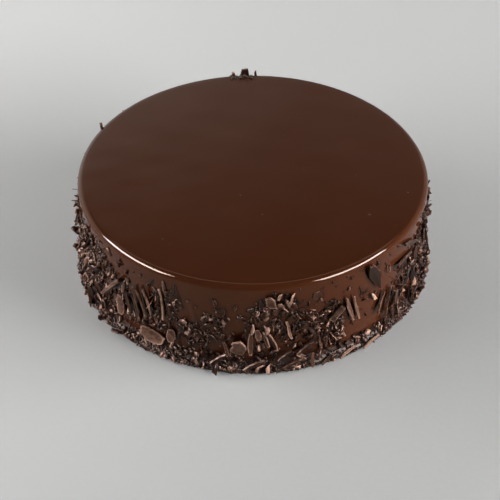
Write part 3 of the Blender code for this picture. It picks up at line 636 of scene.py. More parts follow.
@dataclass
class Layout:
    """Every placed shaving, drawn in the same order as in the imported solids."""

    cake: CakeForm
    cutter: ShavingCutter
    seed: int = 4127
    side_flakes: int = 290
    foot_crumbs: int = 124
    side_top: float = 0.0500
    keep_away: float = 0.0006
    golden: float = 0.6180339887
    plastic: float = 0.7548776662
    rear_patches: int = 9
    rear_count: int = 11
    own: dict[str, Array] = field(default_factory=dict)
    pressed: list[Array] = field(default_factory=list)
    lumps: list[Array] = field(default_factory=list)
    patches: list[Bare] = field(default_factory=list)

    def rear_bare(self, draw: np.random.Generator) -> list[Bare]:
        """Open patches on the half of the side that faces away."""
        patches = []
        for index in range(self.rear_patches):
            angle = 98.0 + (index + draw.uniform(0.2, 0.8)) * 164.0 / self.rear_patches
            patches.append(Bare(angle, draw.uniform(3.0, 7.0), draw.uniform(26.0, 42.0), 60.0))
        return patches

    def rear_shavings(self, draw: np.random.Generator) -> list[Shaving]:
        """Large shavings on the half of the side that faces away."""
        rows = []
        for index in range(self.rear_count):
            angle = 100.0 + (index + draw.uniform(0.25, 0.75)) * 160.0 / self.rear_count
            low = draw.uniform(6.0, 30.0)
            span = draw.uniform(9.0, 16.0)
            lean = draw.uniform(-3.0, 3.0)
            form = ("shard", "plate", "stick")[int(draw.integers(3))]
            width = {"shard": 4.0, "plate": 6.5, "stick": 2.2}[form] * draw.uniform(0.85, 1.15)
            ends = (angle, low, draw.uniform(0.8, 3.0)), (angle + lean, low + span, 0.8)
            turn = draw.uniform(-28.0, 28.0)
            rows.append(Shaving(f"rear_{form}_{index + 1}", form, *ends, width, turn, 0.3))
        return rows

    def is_bare(self, angle: float, height: float) -> bool:
        """Whether a spot, in degrees and metres, lies in a patch of open glaze."""
        for patch in self.patches:
            apart = abs((angle - patch.angle + 180.0) % 360.0 - 180.0)
            if apart < patch.half and patch.low * MM < height < patch.high * MM:
                return True
        return False

    def side_flake(self, index: int, draw: np.random.Generator) -> tuple[float, float, Shaving]:
        """One seeded flake: even spots round the side, sizes from large to small."""
        angle = (index * self.golden * 360.0 + draw.uniform(-2.0, 2.0)) % 360.0
        share = (index * self.plastic + draw.uniform(0.0, 0.1)) % 1.0
        height = 0.006 + (self.side_top - 0.006) * share**1.25
        size = 1.0 - 0.55 * index / self.side_flakes
        form = ("stick", "shard", "shard", "plate")[int(draw.integers(4))]
        long = {"stick": 9.2, "shard": 7.4, "plate": 5.6}[form] * size * draw.uniform(0.7, 1.25)
        wide = {"stick": 1.7, "shard": 2.9, "plate": 4.0}[form] * (0.55 + 0.45 * size)
        lean = draw.normal(0.0, 38.0)
        stand = max(0.0, draw.normal(0.3, 0.9)) * size
        reach = long / 2 * math.sin(math.radians(lean)) / (self.cake.radius / MM)
        rise = long / 2 * math.cos(math.radians(lean))
        low = (angle - math.degrees(reach), height / MM - rise, stand)
        high = (angle + math.degrees(reach), height / MM + rise, 0.0)
        return angle, height, Shaving("flake", form, low, high, wide, draw.normal(0.0, 26.0), 0.2)

    def crumb(self, index: int, draw: np.random.Generator) -> Array:
        """Six corners of one rough lump of the foot."""
        angle = 2 * math.pi * (index + draw.uniform(0.2, 0.8)) / self.foot_crumbs
        out = draw.uniform(-0.0014, 0.0012)
        height = max(0.0010, 0.0012 + abs(draw.normal(0.0, 0.0018)))
        size = draw.uniform(0.0012, 0.0024)
        reach = float(self.cake.reach(angle, height)) + out
        middle = np.array([reach * math.sin(angle), -reach * math.cos(angle), height])
        corners = OCTAHEDRON * size * draw.uniform(0.7, 1.45, (6, 1)) + draw.uniform(-0.3, 0.3, (6, 3)) * size
        turn = draw.uniform(0.0, math.pi)
        cosine, sine = math.cos(turn), math.sin(turn)
        points = corners @ np.array([(cosine, -sine, 0), (sine, cosine, 0), (0, 0, 1)]).T + middle
        points[:, 2] = np.maximum(points[:, 2], self.cutter.floor_gap)
        return points

    def is_clear(self, points: Array, own_points: Array) -> bool:
        """Whether points keep off every shaving that is a solid of its own."""
        return bool(np.linalg.norm(points[:, None] - own_points[None], axis=2).min() > self.keep_away)

    def lay_out(self) -> None:
        """Fills own, pressed, lumps and patches."""
        draw = np.random.default_rng(self.seed)
        self.patches = list(BARE_GLAZE) + self.rear_bare(draw)
        for row in list(OWN_SHAVINGS) + self.rear_shavings(draw):
            self.own[row.name] = self.cutter.cut(row, draw)
        own_points = np.concatenate([self.cutter.samples(rings) for rings in self.own.values()])
        for row in PRESSED_SHAVINGS:
            rings = self.cutter.cut(row, draw, pressed=True)
            if self.is_clear(self.cutter.samples(rings), own_points):
                self.pressed.append(rings)
        for index in range(self.side_flakes):
            angle, height, row = self.side_flake(index, draw)
            rings = self.cutter.cut(row, draw, pressed=True)
            if not self.is_bare(angle, height) and self.is_clear(self.cutter.samples(rings), own_points):
                self.pressed.append(rings)
        for index in range(self.foot_crumbs):
            points = self.crumb(index, draw)
            middle = points.mean(axis=0)
            apart = np.linalg.norm(middle - own_points, axis=1).min()
            if apart > self.keep_away + np.linalg.norm(points - middle, axis=1).max():
                self.lumps.append(points)


@dataclass(frozen=True)
class GlazeFinish:
    """Poured chocolate glaze: dark brown, faintly uneven, with a glossy set skin and a painted shade that
    darkens it between the shavings.

    Dulling gives the roughness at three heights in metres, read by straight lines between.
    """

    colour: str = "361a0c"
    deep: str = "30160a"
    reflection: str = "f2ccaa"
    refraction: float = 1.40
    specular: float = 0.36
    # Colour of the painted shade that darkens the glaze between the shavings.
    gap_shade_colour: str = "1a0904"
    dulling: tuple[tuple[float, float], ...] = ((0.004, 0.45), (0.012, 0.16), (0.057, 0.07))
    cloud_mm: float = 30.0
    cloud_detail: float = 3.0
    ripple_mm: float = 14.0
    ripple_detail: float = 1.0
    ripple_depth: float = 0.00003

    def make(self) -> bpy.types.Material:
        """Returns the glaze material."""
        made, tree, shader, place = new_material("poured_chocolate_glaze")
        cloud = noise(tree, place, self.cloud_mm, self.cloud_detail)
        mixed = mix_colours(tree, cloud, srgb(self.deep), srgb(self.colour))
        # Painted shade: the glaze is mixed towards near-black where shavings lie thick, standing in for the
        # shade they cast.
        crowd = add_node(tree, "ShaderNodeAttribute", {}, attribute_name="crowd").outputs["Fac"]
        shaded = mix_colours(tree, crowd, mixed, srgb(self.gap_shade_colour))
        tree.links.new(shaded, shader.inputs["Base Color"])
        ripple = noise(tree, place, self.ripple_mm, self.ripple_detail)
        normal = bump(tree, ripple, 1.0, self.ripple_depth)
        tree.links.new(normal, shader.inputs["Normal"])
        height = add_node(tree, "ShaderNodeSeparateXYZ", {"Vector": place}).outputs["Z"]
        top = self.dulling[-1][0]
        share = map_range(tree, height, (0.0, top))
        dulled = add_node(tree, "ShaderNodeValToRGB", {"Fac": share})
        ramp = dulled.color_ramp.elements
        for stop, (level, rough) in zip((ramp[0], ramp.new(0.5), ramp[-1]), self.dulling):
            stop.position = level / top
            stop.color = (rough, rough, rough, 1.0)
        tree.links.new(dulled.outputs["Color"], shader.inputs["Roughness"])
        set_gloss(shader, self.refraction, self.specular, self.reflection)
        return made


@dataclass(frozen=True)
class ShavingFinish:
    """Shaved dark chocolate: dull, each piece its own tone, paler at its edges and ends, partly broken-edge
    wear and partly a painted highlight.
    """

    name: str = "shaved_dark_chocolate"
    dark: str = "090403"
    middle: str = "2f190f"
    pale: str = "86695a"
    reflection: str = "e4b698"
    rough_low: float = 0.24
    rough_high: float = 0.44
    refraction: float = 1.50
    specular: float = 0.34
    mottle_mm: float = 1.6
    mottle_detail: float = 4.0
    mottle_share: float = 0.5
    grain_mm: float = 0.35
    grain_strength: float = 0.6
    grain_depth: float = 0.00004

    def make(self) -> bpy.types.Material:
        """Returns the material, which reads each piece's own "tone" attribute."""
        made, tree, shader, place = new_material(self.name)
        tone = add_node(tree, "ShaderNodeAttribute", {}, attribute_name="tone").outputs["Fac"]
        mottle = noise(tree, place, self.mottle_mm, self.mottle_detail)
        shifted = math_node(tree, "MULTIPLY_ADD", mottle, self.mottle_share, tone)
        centred = math_node(tree, "SUBTRACT", shifted, self.mottle_share / 2)
        ramp = add_node(tree, "ShaderNodeValToRGB", {"Fac": centred})
        ramp.color_ramp.elements[0].color = srgb(self.dark)
        ramp.color_ramp.elements[1].color = srgb(self.pale)
        ramp.color_ramp.elements.new(0.5).color = srgb(self.middle)
        tree.links.new(ramp.outputs["Color"], shader.inputs["Base Color"])
        rough = map_range(tree, mottle, onto=(self.rough_low, self.rough_high))
        tree.links.new(rough, shader.inputs["Roughness"])
        grain = noise(tree, place, self.grain_mm)
        normal = bump(tree, grain, self.grain_strength, self.grain_depth)
        tree.links.new(normal, shader.inputs["Normal"])
        set_gloss(shader, self.refraction, self.specular, self.reflection)
        return made


@dataclass(frozen=True)
class FloorFinish:
    """Smooth pale paper with a painted light falloff: dimmer along x + depth_share * y between the two ends
    of reach.
    """

    bright: str = "b8b8b7"
    dim: str = "939392"
    fibre: str = "b0b0af"
    fibre_share: float = 0.12
    fibre_mm: float = 3.0
    reach: tuple[float, float] = (-0.40, 0.25)
    depth_share: float = -0.82
    roughness: float = 0.8

    def make(self) -> bpy.types.Material:
        """Returns the floor material."""
        made, tree, shader, place = new_material("pale_paper")
        fibre = noise(tree, place, self.fibre_mm)
        parts = add_node(tree, "ShaderNodeSeparateXYZ", {"Vector": place}).outputs
        # Painted light falloff: the floor's colour goes from bright to dim across it.
        towards = math_node(tree, "MULTIPLY_ADD", parts["Y"], self.depth_share, parts["X"])
        painted_falloff = map_range(tree, towards, self.reach)
        toned = mix_colours(tree, painted_falloff, srgb(self.bright), srgb(self.dim))
        flecked = math_node(tree, "MULTIPLY", fibre, self.fibre_share)
        mixed = mix_colours(tree, flecked, toned, srgb(self.fibre))
        tree.links.new(mixed, shader.inputs["Base Color"])
        shader.inputs["Roughness"].default_value = self.roughness
        shader.inputs["Specular IOR Level"].default_value = 0.0
        return made


@dataclass
class Piece:
    """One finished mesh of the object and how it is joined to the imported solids."""

    name: str
    mesh: bpy.types.Mesh
    finish: bpy.types.Material
    slot: Slot
    nodes: tuple[str, ...] = ()

    def show(self) -> bpy.types.Object:
        """Puts the piece in the scene, riding on the one body, and returns it."""
        self.mesh.materials.append(self.finish)
        made = bpy.data.objects.new(self.name, self.mesh)
        bpy.context.scene.collection.objects.link(made)
        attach(made, "root")
        if self.nodes:
            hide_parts(*self.nodes)
        log.info("%s: %d faces", self.name, len(self.mesh.polygons))
        return made


def set_values(mesh: bpy.types.Mesh, name: str, values: Array) -> None:
    """Stores one number per vertex for a finish to read."""
    attribute = mesh.attributes.new(name, "FLOAT", "POINT")
    attribute.data.foreach_set("value", values.astype(np.float32))


def corners_in(mesh: bpy.types.Mesh) -> Array:
    """Vertices of a mesh, shape (n, 3)."""
    points = np.empty(len(mesh.vertices) * 3, np.float32)
    mesh.vertices.foreach_get("co", points)
    return points.reshape(-1, 3).astype(float)


def set_tone(mesh: bpy.types.Mesh, tone: Array, cake: CakeForm, by_place: bool = True) -> None:
    """Stores a shaving's tone per vertex, with a painted shade that darkens it the deeper it sits in the
    coat.

    The tone is multiplied by TONE_SUNK + TONE_GAIN * s, with s the stand-off over TONE_REACH,
    held to 0 to 1. By place, it is first multiplied by the factor of that part of the side, a painted light
    and shade.

    Args:
        mesh: Mesh of one or many shavings.
        tone: One number per vertex, 0 for the darkest and 1 for the palest.
        cake: Body that the stand-off is measured from.
        by_place: Whether the factor of that part of the side, a painted light and shade, counts.
    """
    points = corners_in(mesh)
    angle = np.arctan2(points[:, 0], -points[:, 1])
    # Painted light and shade: paler or darker by where round the side the shaving lies.
    if by_place:
        places = np.array(PAINTED_SIDE_LIGHT)
        tone = tone * np.interp(np.degrees(angle), places[:, 0], places[:, 1])
    # Painted shade: darker the deeper the point sits in the coat.
    out = np.hypot(points[:, 0], points[:, 1]) - cake.reach(angle, np.clip(points[:, 2], 0.0, cake.height))
    share = np.clip(out / TONE_REACH, 0.0, 1.0)
    set_values(mesh, "tone", tone * (TONE_SUNK + TONE_GAIN * share))


@dataclass
class PouredBody:
    """The glazed body as one turned surface with the pour's own relief."""

    cake: CakeForm
    around: int = 720
    top_rings: int = 26
    side_rows: int = 88
    side_shares: tuple[float, ...] = (0.0, 0.03, 0.11, 0.20, 0.58, 1.0)
    rim_rows: int = 16
    drip_angle: float = math.radians(-18.0)
    drip_heights: tuple[float, float] = (0.030, 0.047)
    drip_width: float = 0.0012
    drip_depth: float = 0.00050
    drip_fade: tuple[float, float] = (0.004, 0.006)
    drip_bend: float = 0.0012
    drip_turn: float = 2.6
    ripple: float = 0.00005
    ripple_lengths: tuple[float, ...] = (0.064, 0.041, 0.027)
    wave_power: int = 8
    foot_shares: tuple[float, ...] = (0.0, 0.6, 0.98)
    cell: float = 0.0003
    blur_cells: int = 3
    blur_rounds: int = 3
    gap_shade_gain: float = 3.4
    gap_shade_fade: float = 0.002
    relief_foot: float = 0.008
    bubble_count: int = 16
    bubble_radius: float = 0.00045
    bubble_rise: float = 0.00016
    bubble_sink: float = 0.0001
    bubble_points: int = 12
    bubble_shares: tuple[float, ...] = (1.0, 0.75, 0.4)

    def rows(self) -> Array:
        """Rows of (radius, height) from the centre of the foot to the centre of the top."""
        coarse = self.cake.profile(self.rim_rows)
        side = coarse[: -self.rim_rows]
        levels = np.interp(
            np.linspace(0, 1, self.side_rows),
            self.side_shares,
            np.append(side[:, 1], coarse[-self.rim_rows, 1]),
        )
        reach = np.interp(levels, np.append(side[:, 1], 1.0), np.append(side[:, 0], self.cake.radius))
        reach[0] = side[0, 0]
        foot = np.array([(share * side[0, 0], 0.0) for share in self.foot_shares])
        rim = coarse[-self.rim_rows + 1 :]
        inner = np.linspace(rim[-1, 0], 0.0, self.top_rings + 1)[1:]
        top = np.stack([inner, np.full(len(inner), self.cake.height)], axis=1)
        return np.concatenate([foot, np.stack([reach, levels], axis=1), rim, top])

    def relief(self, angle: Array, reach: Array, height: Array) -> Array:
        """Height of the pour's relief along the surface normal.

        It is the sum of low ripples, each sin(k d + n) sin(0.7 k (z + y) + 2 n) / (n + 1) with
        d the distance along a line turned by 1.1 n, and one drip ridge, a Gaussian across its
        arc that starts and stops at its two heights.
        """
        x = reach * np.sin(angle)
        y = -reach * np.cos(angle)
        total = np.zeros(angle.shape)
        for index, length in enumerate(self.ripple_lengths):
            k = 2 * math.pi / length
            turned = x * math.cos(1.1 * index) + y * math.sin(1.1 * index)
            total += np.sin(k * turned + index) * np.sin(k * 0.7 * (height + y) + 2 * index) / (index + 1)
        total *= self.ripple
        low, high = self.drip_heights
        start, stop = self.drip_fade
        inside = np.clip((height - low) / start, 0, 1) * np.clip((high - height) / stop, 0, 1)
        apart = (np.mod(angle - self.drip_angle + math.pi, 2 * math.pi) - math.pi) * self.cake.radius
        bend = self.drip_bend * np.sin((height - low) / (high - low) * self.drip_turn)
        drip = np.exp(-(((apart + bend) / self.drip_width) ** 2)) * inside
        return total + self.drip_depth * drip

    def crowd(self, near: Array, angle: Array, height: Array) -> Array:
        """Painted shade between the shavings: how densely shavings lie at each spot of the side, from 0 to 1,
        which darkens the glaze there.

        Points of the shavings are marked in cells of arc and height and blurred by box means
        each way. The mark at each spot times the gain is held to 1, and fades out at the rim.
        """
        wide = int(2 * math.pi * self.cake.radius / self.cell)
        tall = int(self.cake.height / self.cell) + 1
        turn = np.arctan2(near[:, 0], -near[:, 1]) / (2 * math.pi) % 1.0
        marks = np.zeros((wide, tall))
        level = np.clip(near[:, 2] / self.cell, 0, tall - 1).astype(int)
        marks[(turn * wide).astype(int) % wide, level] = 1.0
        steps = range(-self.blur_cells, self.blur_cells + 1)
        for _ in range(self.blur_rounds):
            for axis in (0, 1):
                marks = np.mean([np.roll(marks, step, axis) for step in steps], axis=0)
        i = (angle / (2 * math.pi) % 1.0 * wide).astype(int) % wide
        j = np.clip(height / self.cell, 0, tall - 1).astype(int)
        side = np.clip((self.cake.height - self.gap_shade_fade - height) / self.gap_shade_fade, 0.0, 1.0)
        return np.clip(self.gap_shade_gain * marks[i, j], 0.0, 1.0) * side

    def build(self, finish: bpy.types.Material, near: Array) -> Piece:
        """Returns the body: x = r sin a, y = -r cos a, with r and z read along the profile.

        Args:
            finish: The glaze.
            near: Points of the shavings, for the painted shade that darkens the glaze between them.

        Returns:
            The body, with its crowding as an attribute: a painted shade that darkens the glaze between the
            shavings.
        """
        rows = self.rows()
        turns = np.linspace(0.0, 2 * math.pi, self.around, endpoint=False)
        ring = rows[1:-1]
        angle, row = np.meshgrid(turns, np.arange(len(ring)))
        height = ring[row, 1]
        reach = ring[row, 0]
        share = np.clip(reach / self.cake.radius, 0.0, 1.0)
        step = np.gradient(ring, axis=0)
        size = np.maximum(np.hypot(step[:, 0], step[:, 1]), TINY)
        out = (step[:, 1] / size)[row]
        up = (-step[:, 0] / size)[row]
        lift = self.relief(angle, reach, height) * np.where(height > self.relief_foot, 1.0, 0.0)
        reach = reach + self.cake.wave(angle, height) * share**self.wave_power + out * lift
        points = on_side(angle, reach, height + up * lift)
        count = len(ring)
        points = np.concatenate([points.reshape(-1, 3), [[0, 0, 0]], [[0, 0, self.cake.height]]])
        corner = np.arange(self.around)
        after = (corner + 1) % self.around
        level = np.arange(count - 1)[:, None] * self.around
        quads = np.stack(
            [level + corner, level + after, level + self.around + after, level + self.around + corner], -1
        ).reshape(-1, 4)
        foot = np.stack([after, corner, np.full(self.around, len(points) - 2)], -1)
        last = (count - 1) * self.around
        crown = np.stack([last + corner, last + after, np.full(self.around, len(points) - 1)], -1)
        mesh = write_mesh("poured_glaze", points, [quads, foot, crown])
        # Painted shade between the shavings, stored per vertex for the glaze to read.
        set_values(mesh, "crowd", np.append(self.crowd(near, angle, height).ravel(), [0.0, 0.0]))
        shade_smooth(mesh)
        return Piece("poured_glaze", mesh, finish, Slot.GLAZE, ("glazed_cake",))

    def bubbles(self, finish: bpy.types.Material, draw: np.random.Generator) -> Piece:
        """Returns small burst bubbles in the top: low domes z = rise (1 - (r / radius)^2)."""
        distance = self.cake.radius * 0.93 * np.sqrt(draw.uniform(0.02, 1.0, self.bubble_count))
        angle = draw.uniform(0.0, 2 * math.pi, self.bubble_count)
        size = self.bubble_radius * draw.uniform(0.6, 1.3, self.bubble_count)
        points = self.bubble_points
        turns = np.linspace(0.0, 2 * math.pi, points, endpoint=False)[None]
        shares = np.array(self.bubble_shares)[:, None]
        dome = np.broadcast_to(1 - shares**2, (len(shares), points))
        local = np.stack([shares * np.cos(turns), shares * np.sin(turns), dome], axis=-1)
        scale = np.stack([size, size, np.full(len(size), self.bubble_rise)], axis=1)
        rings = local[None] * scale[:, None, None, :]
        rings[:, 0, :, 2] -= self.bubble_sink
        centre = np.stack([distance * np.sin(angle), -distance * np.cos(angle)], axis=1)
        rings[..., :2] += centre[:, None, None, :]
        rings[..., 2] += self.cake.height
        faces = tube_faces(self.bubble_count, len(shares), points)
        mesh = write_mesh("glaze_bubbles", rings.reshape(-1, 3), faces)
        shade_smooth(mesh)
        return Piece("glaze_bubbles", mesh, finish, Slot.GLAZE)


@dataclass
class LargeShavings:
    """Each large shaving cut again over the solid it stands for."""

    layout: Layout
    point_mm: float = 0.55
    side_points: tuple[int, int] = (3, 8)
    sharp: float = math.radians(24)
    edge_wear_and_highlight: float = 0.75
    rib_light_and_shade: float = 1.1

    def crest(self, rings: Array) -> Array:
        """How far each point is on a crest: 2 s - 1.5 held to -0.5 to 0.5, s its share outwards."""
        out = np.hypot(rings[..., 0], rings[..., 1])
        lowest = out.min(axis=1, keepdims=True)
        share = (out - lowest) / (out.max(axis=1, keepdims=True) - lowest)
        return np.clip(2.0 * share - 1.5, -0.5, 0.5)

    def build(self, finish: bpy.types.Material, draw: np.random.Generator) -> list[Piece]:
        """Returns one piece for each solid of its own."""
        rows = {row.name: row for row in OWN_SHAVINGS}
        pieces = []
        for name, rings in self.layout.own.items():
            row = rows.get(name)
            form = Form(row.form) if row else Form(name.split("_")[1])
            width = float(np.linalg.norm(rings[1].max(axis=0) - rings[1].min(axis=0)))
            per_side = int(np.clip(width / (self.point_mm * MM) / 2, *self.side_points))
            per_side = self.side_points[0] if form is Form.ROLL else per_side
            fine, edge = self.layout.cutter.refined(rings, form, per_side, draw)
            stations, points = fine.shape[:2]
            mesh = write_mesh(f"cut_{name}", fine.reshape(-1, 3), tube_faces(1, stations, points))
            shade_smooth(mesh)
            mesh.set_sharp_from_angle(angle=self.sharp)
            tone = LARGE_TONES.get(name, draw.uniform(0.25, 0.75))
            # Paler edges and ends: partly broken-edge wear, partly a painted highlight.
            tone = tone + self.edge_wear_and_highlight * edge.ravel() * draw.uniform(0.2, 1.0, edge.size)
            # Painted highlight on the ribs' crests and painted shade in the grooves between them.
            if form is Form.RIBBED:
                tone = tone + self.rib_light_and_shade * self.crest(fine).ravel()
            set_tone(mesh, tone, self.layout.cake, by_place=False)
            pieces.append(Piece(f"cut_{name}", mesh, finish, Slot.SHAVINGS, (name,)))
        return pieces


@dataclass
class PressedShavings:
    """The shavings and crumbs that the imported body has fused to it."""

    layout: Layout
    per_side: int = 3
    edge_wear_and_highlight: float = 0.60

    def shavings(self, finish: bpy.types.Material, draw: np.random.Generator) -> Piece:
        """Returns every fused shaving, cut again, as one joined mesh."""
        cut = [
            self.layout.cutter.refined(rings, Form.STICK, self.per_side, draw)
            for rings in self.layout.pressed
        ]
        block = np.array([fine for fine, _ in cut])
        edge = np.array([near for _, near in cut])
        count, stations, points = block.shape[:3]
        mesh = write_mesh("pressed_shavings", block.reshape(-1, 3), tube_faces(count, stations, points))
        tone = draw.beta(1.1, 1.8, count)[:, None, None]
        # Paler edges and ends: partly broken-edge wear, partly a painted highlight.
        tone = tone + self.edge_wear_and_highlight * edge * draw.uniform(0.0, 1.0, edge.shape)
        set_tone(mesh, tone.ravel(), self.layout.cake)
        return Piece("pressed_shavings", mesh, finish, Slot.SHAVINGS, ("glazed_cake",))

    def lumps(self, finish: bpy.types.Material, draw: np.random.Generator) -> Piece:
        """Returns the foot's lumps: each an octahedron cut once more, its new corners moved."""
        corners = np.array(self.layout.lumps)
        around = np.array([0, 1, 2, 3])
        after = np.array([1, 2, 3, 0])
        waist = (corners[:, around] + corners[:, after]) / 2
        upper = (corners[:, around] + corners[:, 4:5]) / 2
        lower = (corners[:, around] + corners[:, 5:6]) / 2
        added = np.concatenate([waist, upper, lower], axis=1)
        middle = corners.mean(axis=1, keepdims=True)
        added = middle + (added - middle) * draw.uniform(1.05, 1.4, added.shape[:2] + (1,))
        points = np.concatenate([corners, added], axis=1)
        points[..., 2] = np.maximum(points[..., 2], self.layout.cutter.floor_gap)
        faces = []
        for a, b in zip(around, after):
            w, ua, ub, la, lb = 6 + a, 10 + a, 10 + b, 14 + a, 14 + b
            faces += [(a, w, ua), (w, b, ub), (w, ub, ua), (ua, ub, 4)]
            faces += [(w, a, la), (b, w, lb), (lb, w, la), (lb, la, 5)]
        block = np.array(faces)[None] + np.arange(len(points))[:, None, None] * points.shape[1]
        mesh = write_mesh("foot_lumps", points.reshape(-1, 3), [block.reshape(-1, 3)])
        set_tone(mesh, np.repeat(draw.uniform(0.1, 0.8, len(points)), points.shape[1]), self.layout.cake)
        return Piece("foot_lumps", mesh, finish, Slot.SHAVINGS, ("glazed_cake",))


@dataclass
class Cover:
    """How thickly fine shavings cover each spot of the side.

    Skyline gives the height in mm that the coat reaches, foot the share of the side's foot
    that is covered and sparse a factor on all of it, each by angle in degrees.
    """

    layout: Layout
    skyline: tuple[tuple[float, float], ...] = (
        (-180, 46), (-150, 42), (-125, 48), (-100, 44), (-88, 50), (-70, 53), (-56, 54),
        (-50, 44), (-44, 43), (-36, 44), (-31, 47), (-27, 53), (-23, 50), (-21, 30),
        (-18, 34), (-15, 40), (-10, 41), (-7, 26), (-3, 24), (-1, 42), (2, 50), (6, 55),
        (11, 54), (15, 48), (20, 50), (24, 42), (29, 41), (36, 43), (42, 34), (50, 34),
        (55, 47), (64, 52), (80, 50), (100, 46), (125, 42), (150, 49), (165, 44), (180, 46),
    )
    foot: tuple[tuple[float, float], ...] = (
        (-180, 0.8), (-70, 0.9), (-52, 1.0), (8, 1.0), (16, 0.75), (24, 0.55), (46, 0.55),
        (56, 0.60), (70, 0.8), (180, 0.8),
    )
    sparse: tuple[tuple[float, float], ...] = (
        (-180, 1.0), (50, 1.0), (58, 0.55), (78, 0.55), (92, 1.0), (180, 1.0),
    )
    clump_mm: float = 7.0
    large_gap_mm: float = 1.5
    stray: float = 0.035
    stray_top: float = 0.056
    fade_mm: float = 5.0
    foot_mm: float = 9.0
    patch_fade: tuple[float, float] = (1.2, 1.5)
    clump_gain: float = 2.4
    clump_offset: float = 0.55
    clump_least: float = 0.05
    tries: int = 6
    lowest: float = 0.0006

    def foot_angles(self, count: int, draw: np.random.Generator) -> Array:
        """Angles in radians of count crumbs round the foot, as dense as the foot rows say."""
        foot = np.array(self.foot)
        angle = draw.uniform(-180.0, 180.0, count * self.tries)
        kept = draw.random(count * self.tries) < np.interp(angle, foot[:, 0], foot[:, 1])
        return np.radians(angle[kept][:count])

    def chance(self, angle: Array, height: Array, draw: np.random.Generator) -> Array:
        """Chance that a spot, in degrees and metres, is covered.

        It is 0 at the skyline and rises to 1 over fade_mm below it, times a clump field read
        bilinearly from a seeded lattice. Near the foot it is at least the foot's share, and
        in the patches of open glaze it falls to the stray chance.
        """
        sky = np.array(self.skyline)
        limit = np.interp(angle, sky[:, 0], sky[:, 1]) * MM
        under = np.clip((limit - height) / (self.fade_mm * MM), 0.0, 1.0)
        wide = int(2 * math.pi * self.layout.cake.radius / (self.clump_mm * MM))
        tall = int(self.layout.cake.height / (self.clump_mm * MM)) + 2
        lattice = draw.random((wide, tall))
        u = (angle / 360.0 % 1.0) * wide
        v = height / (self.clump_mm * MM)
        i, j = u.astype(int) % wide, np.minimum(v.astype(int), tall - 2)
        fu, fv = u - np.floor(u), v - j
        west = lattice[i, j] * (1 - fv) + lattice[i, j + 1] * fv
        east = lattice[(i + 1) % wide, j] * (1 - fv) + lattice[(i + 1) % wide, j + 1] * fv
        clump = (west * (1 - fu) + east * fu) * self.clump_gain - self.clump_offset
        clump = np.clip(clump, self.clump_least, 1.0)
        foot, sparse = np.array(self.foot), np.array(self.sparse)
        low = np.clip(1.0 - height / (self.foot_mm * MM), 0.0, 1.0)
        low = low * np.interp(angle, foot[:, 0], foot[:, 1])
        chance = np.maximum(under * clump, low) * np.interp(angle, sparse[:, 0], sparse[:, 1])
        aside, upright = self.patch_fade
        for patch in self.layout.patches:
            apart = np.abs((angle - patch.angle + 180.0) % 360.0 - 180.0)
            inside = np.clip((patch.half - apart) / aside, 0, 1)
            inside = inside * np.clip((height / MM - patch.low) / upright, 0, 1)
            inside = inside * np.clip((patch.high - height / MM) / upright, 0, 1)
            chance = chance * (1 - inside)
        return np.maximum(chance, self.stray * (height < self.stray_top))

    def is_open(self, angle: Array, height: Array) -> Array:
        """Whether each spot, in degrees and metres, keeps off the faces of the large shavings."""
        points = np.concatenate([self.layout.cutter.samples(rings) for rings in self.layout.own.values()])
        radius = self.layout.cake.radius
        tree = kdtree.KDTree(len(points))
        arcs = np.arctan2(points[:, 0], -points[:, 1]) * radius
        for index, (arc, level) in enumerate(zip(arcs, points[:, 2])):
            tree.insert((arc, level, 0.0), index)
        tree.balance()
        spots = zip(np.radians(angle) * radius, height)
        gap = self.large_gap_mm * MM
        return np.array([tree.find((arc, level, 0.0))[2] > gap for arc, level in spots])

    def spots(self, count: int, top: float, draw: np.random.Generator) -> tuple[Array, Array]:
        """Angles in radians and heights of count covered spots."""
        angle = draw.uniform(-180.0, 180.0, count * self.tries)
        height = draw.uniform(self.lowest, top, count * self.tries)
        kept = draw.random(count * self.tries) < self.chance(angle, height, draw)
        angle, height = angle[kept], height[kept]
        kept = self.is_open(angle, height)
        return np.radians(angle[kept][:count]), height[kept][:count]


